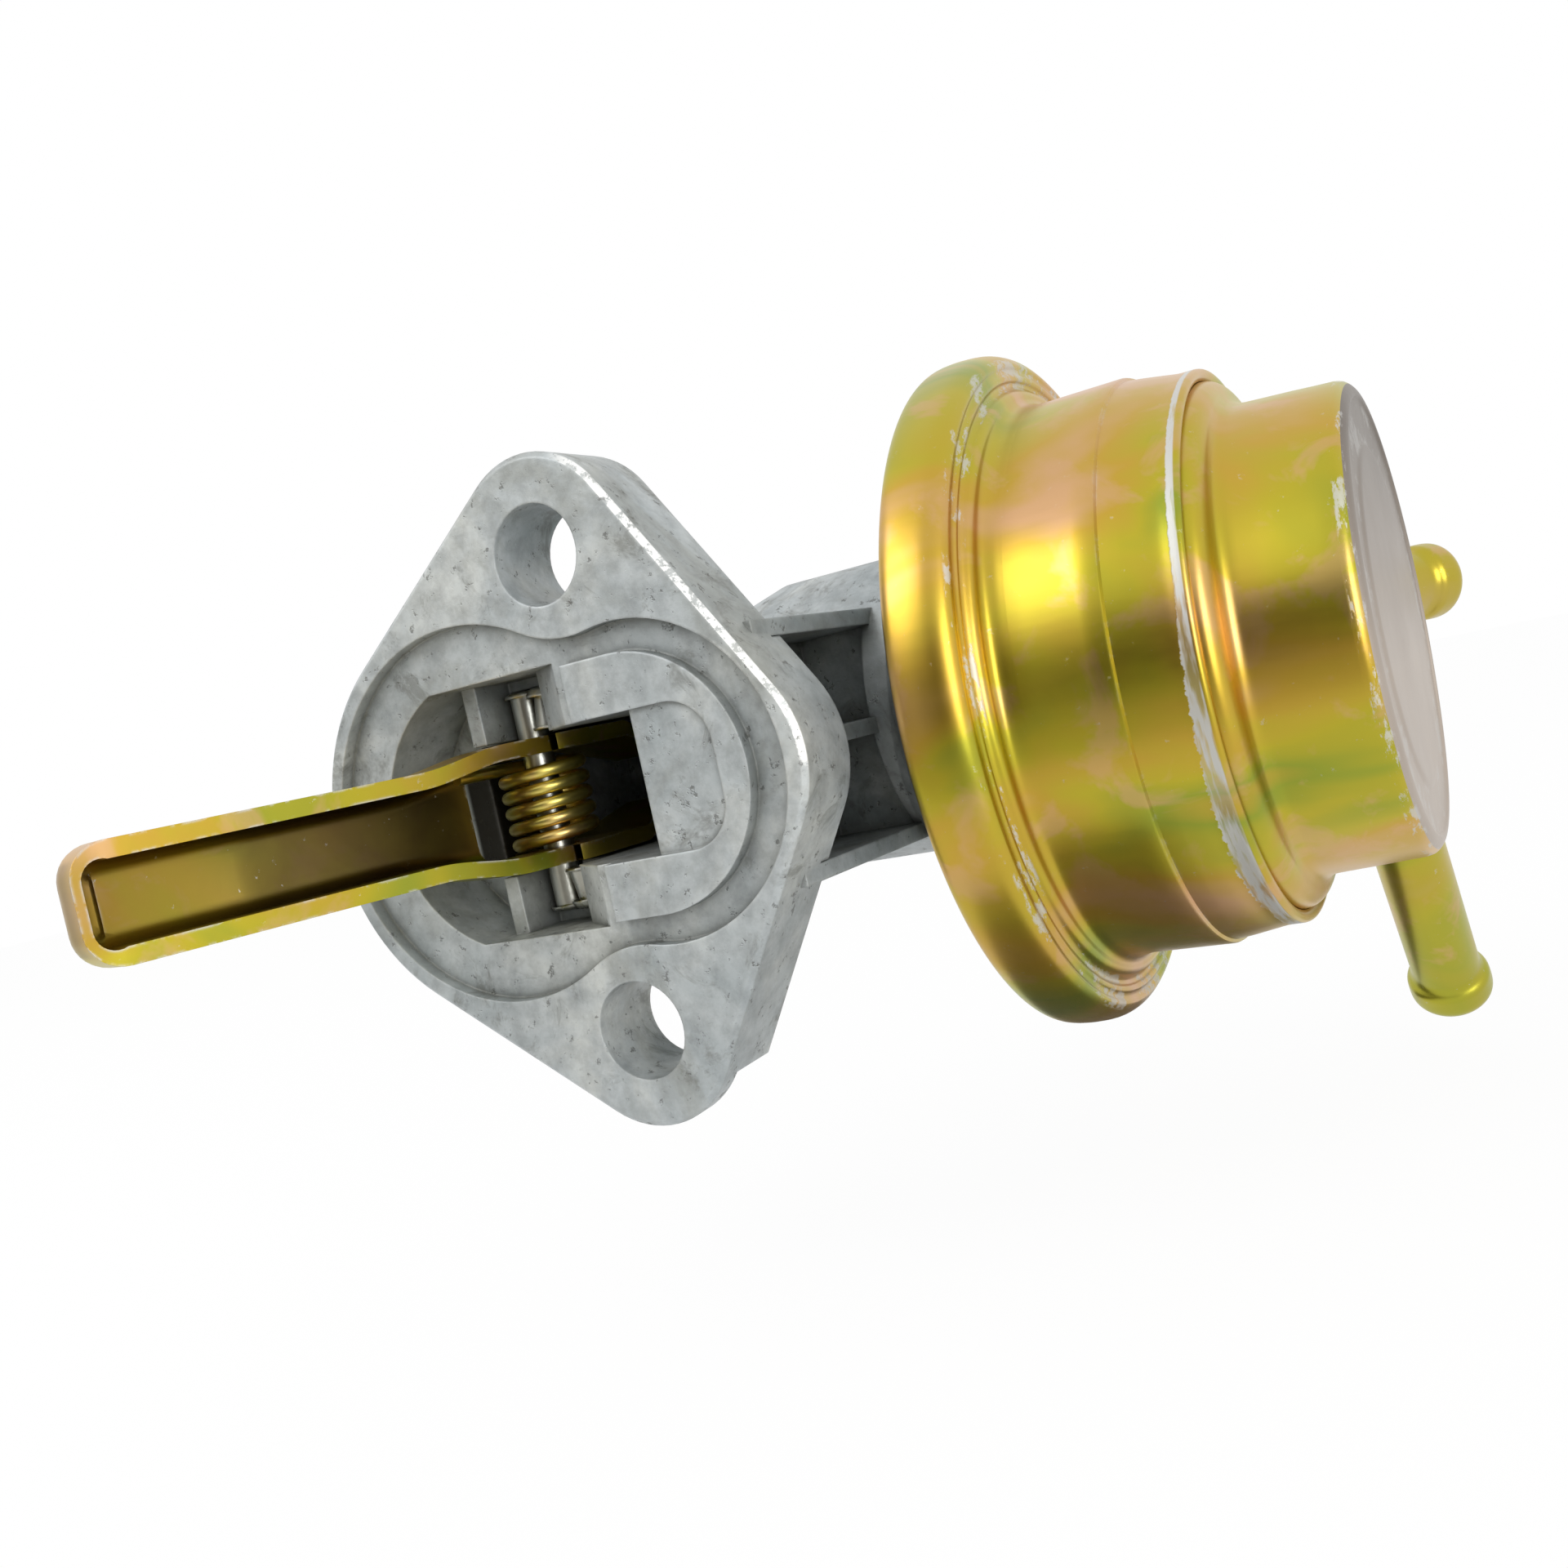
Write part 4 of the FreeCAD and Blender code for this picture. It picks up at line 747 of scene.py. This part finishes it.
def spring_path():
    """Middle line of the wire: first leg, coil and second leg."""
    wall_reach = SLOT_WALL - WIRE_R - LEG_GAP
    wall_lean = math.atan2(WALL_LEG, COIL_R) - math.acos(wall_reach / math.hypot(COIL_R, WALL_LEG))
    web_lean = math.asin((COIL_R + WEB_V + SHEET + WIRE_R + LEG_GAP) / WEB_START)
    first = math.pi + wall_lean
    last = math.pi - ARM_LEAN + web_lean + 2 * math.pi * TURNS
    turn = last - first
    low_z = -PITCH * turn / (4 * math.pi)
    coil = []
    for i in range(COIL_STEPS + 1):
        a = first + turn * i / COIL_STEPS
        z = low_z + PITCH * turn * i / COIL_STEPS / (2 * math.pi)
        coil.append(PIVOT + Vector((COIL_R * math.cos(a), COIL_R * math.sin(a), z)))
    first_way = Vector((math.sin(first), -math.cos(first), 0))
    last_way = Vector((-math.sin(last), math.cos(last), 0))
    first_leg = line(coil[0] + first_way * WALL_LEG, coil[0] + first_way * LEG_START, LEG_STEPS)
    last_leg = line(coil[-1] + last_way * LEG_START, coil[-1] + last_way * WEB_LEG, LEG_STEPS)
    return first_leg + coil + last_leg


tube("lever_spring_wire", rings(spring_path(), WIRE_R, WIRE_SIDES), metal_spring, ("lever_return_spring",))

# Lever: a folded pan with a closed rounded tip, and the fork behind the pin.
# Places on it are u along the arm from the pin, v square to the web, and z.
PAN_START = 1.5
STATIONS = 46
CORNER_STEPS = 8
END_STEPS = 4
FOLDS = 6
WALL = 5
COLUMN = WALL + FOLDS + 1
INNER_FOLD_R = 1.7
END_THINNING = 0.45
PAN_SHARP_ANGLE = math.radians(50)
EDGE_ROUNDING = 0.45
EDGE_SEGMENTS = 3
EDGE_ANGLE = math.radians(60)
FORK_WELD_M = 1e-6

arm_u = Vector((-math.sin(ARM_LEAN), -math.cos(ARM_LEAN), 0))
arm_v = Vector((math.cos(ARM_LEAN), -math.sin(ARM_LEAN), 0))


def at_arm(u, v, z):
    return PIVOT + arm_u * u + arm_v * v + Vector((0, 0, z))


def arm_half(u):
    """Half of the arm's width, flared in an S-shape towards the hub."""
    t = min(max((u - FLARE_START) / (FLARE_END - FLARE_START), 0), 1)
    return HUB_HALF_Z + (ARM_HALF_Z - HUB_HALF_Z) * t * t * (3 - 2 * t)


def arm_top(u):
    """Height of the wall's free edge."""
    return TOP_AT_HUB + (TOP_AT_TIP - TOP_AT_HUB) * u / ARM_SPAN


def arm_web(u):
    """Web height with the cam pad's bulge near the tip."""
    pad_start = ARM_LENGTH - PAD_LENGTH
    if u < pad_start:
        return WEB_V
    t = (u - pad_start) / (ARM_SPAN - pad_start)
    return WEB_V - PAD_RISE * 4 * t * (1 - t) + PAD_RISE * t * t


def arm_outline():
    """Plan of the arm from the hub round the tip and back, as (u, z) with outward normals."""
    points = []
    for i in range(STATIONS + 1):
        u = PAN_START + (ARM_LENGTH - TIP_R - PAN_START) * i / STATIONS
        points.append((u, arm_half(u), 0.0, 1.0))
    for i in range(1, CORNER_STEPS + 1):
        a = math.pi / 2 * i / CORNER_STEPS
        u, z = ARM_LENGTH - TIP_R + TIP_R * math.sin(a), ARM_HALF_Z - TIP_R + TIP_R * math.cos(a)
        points.append((u, z, math.sin(a), math.cos(a)))
    for i in range(1, END_STEPS + 1):
        points.append((ARM_LENGTH, (ARM_HALF_Z - TIP_R) * (1 - i / END_STEPS), 1.0, 0.0))
    return points + [(u, -z, nu, -nz) for u, z, nu, nz in points[:-1]][::-1]


def arm_skin(points, inset, fold, lift):
    """Columns of points down the wall and round the fold, one column for each outline point."""
    out = []
    for u, z, nu, nz in points:
        top, low = arm_top(u), arm_web(u) + lift + fold
        depth = inset * (1 - END_THINNING * nu)
        edge_u, edge_z = u - nu * depth, z - nz * depth
        for k in range(WALL):
            out.append(at_arm(edge_u, top + (low - top) * k / WALL, edge_z))
        for k in range(FOLDS + 1):
            a = math.pi / 2 * k / FOLDS
            inward = fold * (1 - math.cos(a))
            out.append(at_arm(edge_u - nu * inward, low - fold * math.sin(a), edge_z - nz * inward))
    return out


def pan_faces(outline):
    """Faces of both skins, of the web and of the edges between the skins."""
    count = len(outline)
    skin = count * COLUMN
    foot = COLUMN - 1
    web_from = next(i for i, point in enumerate(outline) if point[0] >= WEB_START)
    web_to = count - 1 - web_from
    faces = []
    for i in range(count - 1):
        a, b = i * COLUMN, (i + 1) * COLUMN
        reach = foot if web_from <= i < web_to else WALL
        for k in range(reach):
            faces.append((a + k, b + k, b + k + 1, a + k + 1))
            faces.append((skin + a + k, skin + a + k + 1, skin + b + k + 1, skin + b + k))
        faces.append((a, skin + a, skin + b, b))
        if reach == WALL:
            faces.append((a + WALL, b + WALL, skin + b + WALL, skin + a + WALL))
    for i in range(web_from, count // 2):
        a, b = i * COLUMN + foot, (i + 1) * COLUMN + foot
        c, d = (count - 2 - i) * COLUMN + foot, (count - 1 - i) * COLUMN + foot
        across = (a, b, c, d) if b != c else (a, b, d)
        faces.append(across)
        faces.append(tuple(skin + v for v in across[::-1]))
    a, b = web_from * COLUMN + foot, web_to * COLUMN + foot
    faces.append((a, b, skin + b, skin + a))
    open_ends = ((web_from, WALL, foot), (web_to, WALL, foot), (0, 0, WALL), (count - 1, 0, WALL))
    for i, first, last in open_ends:
        for k in range(first, last):
            a = i * COLUMN + k
            faces.append((a, a + 1, skin + a + 1, skin + a))
    return faces


outline = arm_outline()
verts = arm_skin(outline, 0.0, FOLD_R, 0.0) + arm_skin(outline, SHEET, INNER_FOLD_R, SHEET)
pan = make_piece("lever_arm", verts, pan_faces(outline), metal_lever, "lever",
                 sharp=PAN_SHARP_ANGLE)
rounding = pan.modifiers.new("rounding", "BEVEL")
rounding.width = EDGE_ROUNDING * MM
rounding.segments = EDGE_SEGMENTS
rounding.limit_method = "ANGLE"
rounding.angle_limit = EDGE_ANGLE

# Behind the pin the lever is the solid's own shape, cut off where the folded arm starts
rear = bpy.data.objects.new("lever_fork", frame["nodes"]["rocker_lever"].data.copy())
bpy.context.scene.collection.objects.link(rear)
bm = bmesh.new()
bm.from_mesh(rear.data)
bmesh.ops.remove_doubles(bm, verts=bm.verts, dist=FORK_WELD_M)
cut = at_arm(PAN_START, 0, 0) * MM
bmesh.ops.bisect_plane(bm, geom=bm.verts[:] + bm.edges[:] + bm.faces[:], plane_co=cut, plane_no=arm_u,
                       clear_outer=True)
bm.to_mesh(rear.data)
bm.free()
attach(rear, "lever")
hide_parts("rocker_lever")

# Camera
scene = bpy.context.scene
azimuth, elevation = math.radians(CAMERA_AZIMUTH), math.radians(CAMERA_ELEVATION)
back = Vector((math.sin(azimuth) * math.cos(elevation), -math.cos(azimuth) * math.cos(elevation),
               math.sin(elevation)))
right = Vector((math.cos(azimuth), math.sin(azimuth), 0))
up = back.cross(right)
roll = math.radians(CAMERA_ROLL)
image_right = right * math.cos(roll) + up * math.sin(roll)
image_up = up * math.cos(roll) - right * math.sin(roll)
camera_data = bpy.data.cameras.new("camera")
camera = bpy.data.objects.new("camera", camera_data)
scene.collection.objects.link(camera)
scene.camera = camera
camera_data.sensor_width = SENSOR
camera_data.lens = CAMERA_LENS
camera_data.clip_start = CLIP_NEAR_M
camera_data.clip_end = CLIP_FAR_M
rotation = Matrix((image_right, image_up, back)).transposed()
camera.matrix_world = Matrix.Translation((CAMERA_TARGET + back * CAMERA_DISTANCE) * MM) @ rotation.to_4x4()

# Background: the white that rays see, the share of it on the floor, and the world's light on the part
WHITE = (1, 1, 1, 1)
FLOOR_COLOUR = (0.9, 0.9, 0.9, 1)
MATT = 0.9
WHITE_LEVEL = 1.0
FLOOR_GLOW_SHARE = 0.94
WORLD_LIGHT_LEVEL = 0.85
FLOOR_GAP_M = 0.004
FLOOR_HALF_M = 1.2
FLOOR_Z_M = cad_low.z - FLOOR_GAP_M


def add_plane(name, half_x, half_y, height):
    """Object with one flat rectangle about its origin."""
    corners = [(-half_x, -half_y, height), (half_x, -half_y, height),
               (half_x, half_y, height), (-half_x, half_y, height)]
    mesh = bpy.data.meshes.new(name)
    mesh.from_pydata(corners, [], [(0, 1, 2, 3)])
    plane = bpy.data.objects.new(name, mesh)
    scene.collection.objects.link(plane)
    return plane


def background_rays(tree):
    """One for the rays that see the background itself: camera, glossy and transmission rays."""
    light_path = tree.nodes.new("ShaderNodeLightPath")
    first = tree.nodes.new("ShaderNodeMath")
    first.operation = "MAXIMUM"
    tree.links.new(light_path.outputs["Is Camera Ray"], first.inputs[0])
    tree.links.new(light_path.outputs["Is Glossy Ray"], first.inputs[1])
    second = tree.nodes.new("ShaderNodeMath")
    second.operation = "MAXIMUM"
    tree.links.new(first.outputs[0], second.inputs[0])
    tree.links.new(light_path.outputs["Is Transmission Ray"], second.inputs[1])
    return second.outputs[0]


def floor_white():
    """White floor that rays see nearly at the background's level, and that keeps the part's shadow."""
    look = bpy.data.materials.new("floor_white")
    look.use_nodes = True
    tree = look.node_tree
    diffuse = tree.nodes["Principled BSDF"]
    diffuse.inputs["Base Color"].default_value = FLOOR_COLOUR
    diffuse.inputs["Roughness"].default_value = MATT
    glow = tree.nodes.new("ShaderNodeEmission")
    glow.inputs["Color"].default_value = WHITE
    glow.inputs["Strength"].default_value = WHITE_LEVEL
    mixer = tree.nodes.new("ShaderNodeMixShader")
    share = tree.nodes.new("ShaderNodeMath")
    share.operation = "MULTIPLY"
    share.inputs[1].default_value = FLOOR_GLOW_SHARE
    tree.links.new(background_rays(tree), share.inputs[0])
    tree.links.new(share.outputs[0], mixer.inputs[0])
    tree.links.new(diffuse.outputs[0], mixer.inputs[1])
    tree.links.new(glow.outputs[0], mixer.inputs[2])
    tree.links.new(mixer.outputs[0], tree.nodes["Material Output"].inputs["Surface"])
    return look


def studio_world():
    """White world that lights the part at a plain level."""
    world = bpy.data.worlds.new("studio")
    world.use_nodes = True
    tree = world.node_tree
    ground = tree.nodes["Background"]
    ground.inputs["Color"].default_value = WHITE
    level = tree.nodes.new("ShaderNodeMapRange")
    level.inputs["To Min"].default_value = WORLD_LIGHT_LEVEL
    level.inputs["To Max"].default_value = WHITE_LEVEL
    tree.links.new(background_rays(tree), level.inputs["Value"])
    tree.links.new(level.outputs[0], ground.inputs["Strength"])
    return world


floor = add_plane("floor", FLOOR_HALF_M, FLOOR_HALF_M, FLOOR_Z_M)
floor.data.materials.append(floor_white())
scene.world = studio_world()


def aim_from(thing, where, aim):
    """Stands a lamp or card at a place, turned to a point."""
    thing.location = where
    thing.rotation_mode = "QUATERNION"
    thing.rotation_quaternion = (Vector(where) - Vector(aim)).to_track_quat("Z", "Y")


def lamp(name, where, size, power):
    data = bpy.data.lights.new(name, "AREA")
    data.shape = "RECTANGLE"
    data.size, data.size_y = size
    data.energy = power
    light = bpy.data.objects.new(name, data)
    scene.collection.objects.link(light)
    aim_from(light, where, LAMP_AIM_M)
    light.visible_camera = False


def card(name, where, aim, size, shade):
    """Dark card that only reflections see, as a studio puts beside plated metal."""
    flag = add_plane(name, size[0] / 2, size[1] / 2, 0)
    aim_from(flag, where, aim)
    look = bpy.data.materials.new(name)
    look.use_nodes = True
    look.node_tree.nodes["Principled BSDF"].inputs["Base Color"].default_value = (*shade, 1)
    look.node_tree.nodes["Principled BSDF"].inputs["Roughness"].default_value = MATT
    flag.data.materials.append(look)
    flag.visible_camera = False
    flag.visible_diffuse = False
    flag.visible_shadow = False


# Lamps: the point they are turned to, then each one's place, size and power in watts
LAMP_AIM_M = (0.02, 0.02, 0)
lamp("key", (-0.27, -0.37, 0.42), (0.36, 0.30), 1.25)
lamp("fill", (0.45, -0.30, 0.10), (0.30, 0.30), 1.2)

# Cards: two stand on the floor, one to the left and one in front, and two lie just above it
DARK = (0.015, 0.012, 0.01)
DIM = (0.25, 0.24, 0.21)
FLOOR_CARD_SHADE = (0.42, 0.40, 0.35)
CARD_SIZE_M = (0.56, 0.26)
CARD_GAP_M = 0.001
STANDING_Z_M = FLOOR_Z_M + CARD_SIZE_M[1] / 2
LYING_Z_M = FLOOR_Z_M + CARD_GAP_M
card("flag_left", (-0.42, -0.39, STANDING_Z_M), (0.0, 0.0, STANDING_Z_M), CARD_SIZE_M, DIM)
card("flag_front", (0.15, -0.42, STANDING_Z_M), (0.15, 0.0, STANDING_Z_M), CARD_SIZE_M, DARK)
card("flag_floor", (-0.20, -0.245, LYING_Z_M), (-0.20, -0.245, 1.0), (1.2, 0.35), FLOOR_CARD_SHADE)
card("flag_under", (0.030, 0.03, LYING_Z_M), (0.030, 0.03, 1.0), (0.03, 0.08), DIM)

scene.view_settings.view_transform = "Standard"
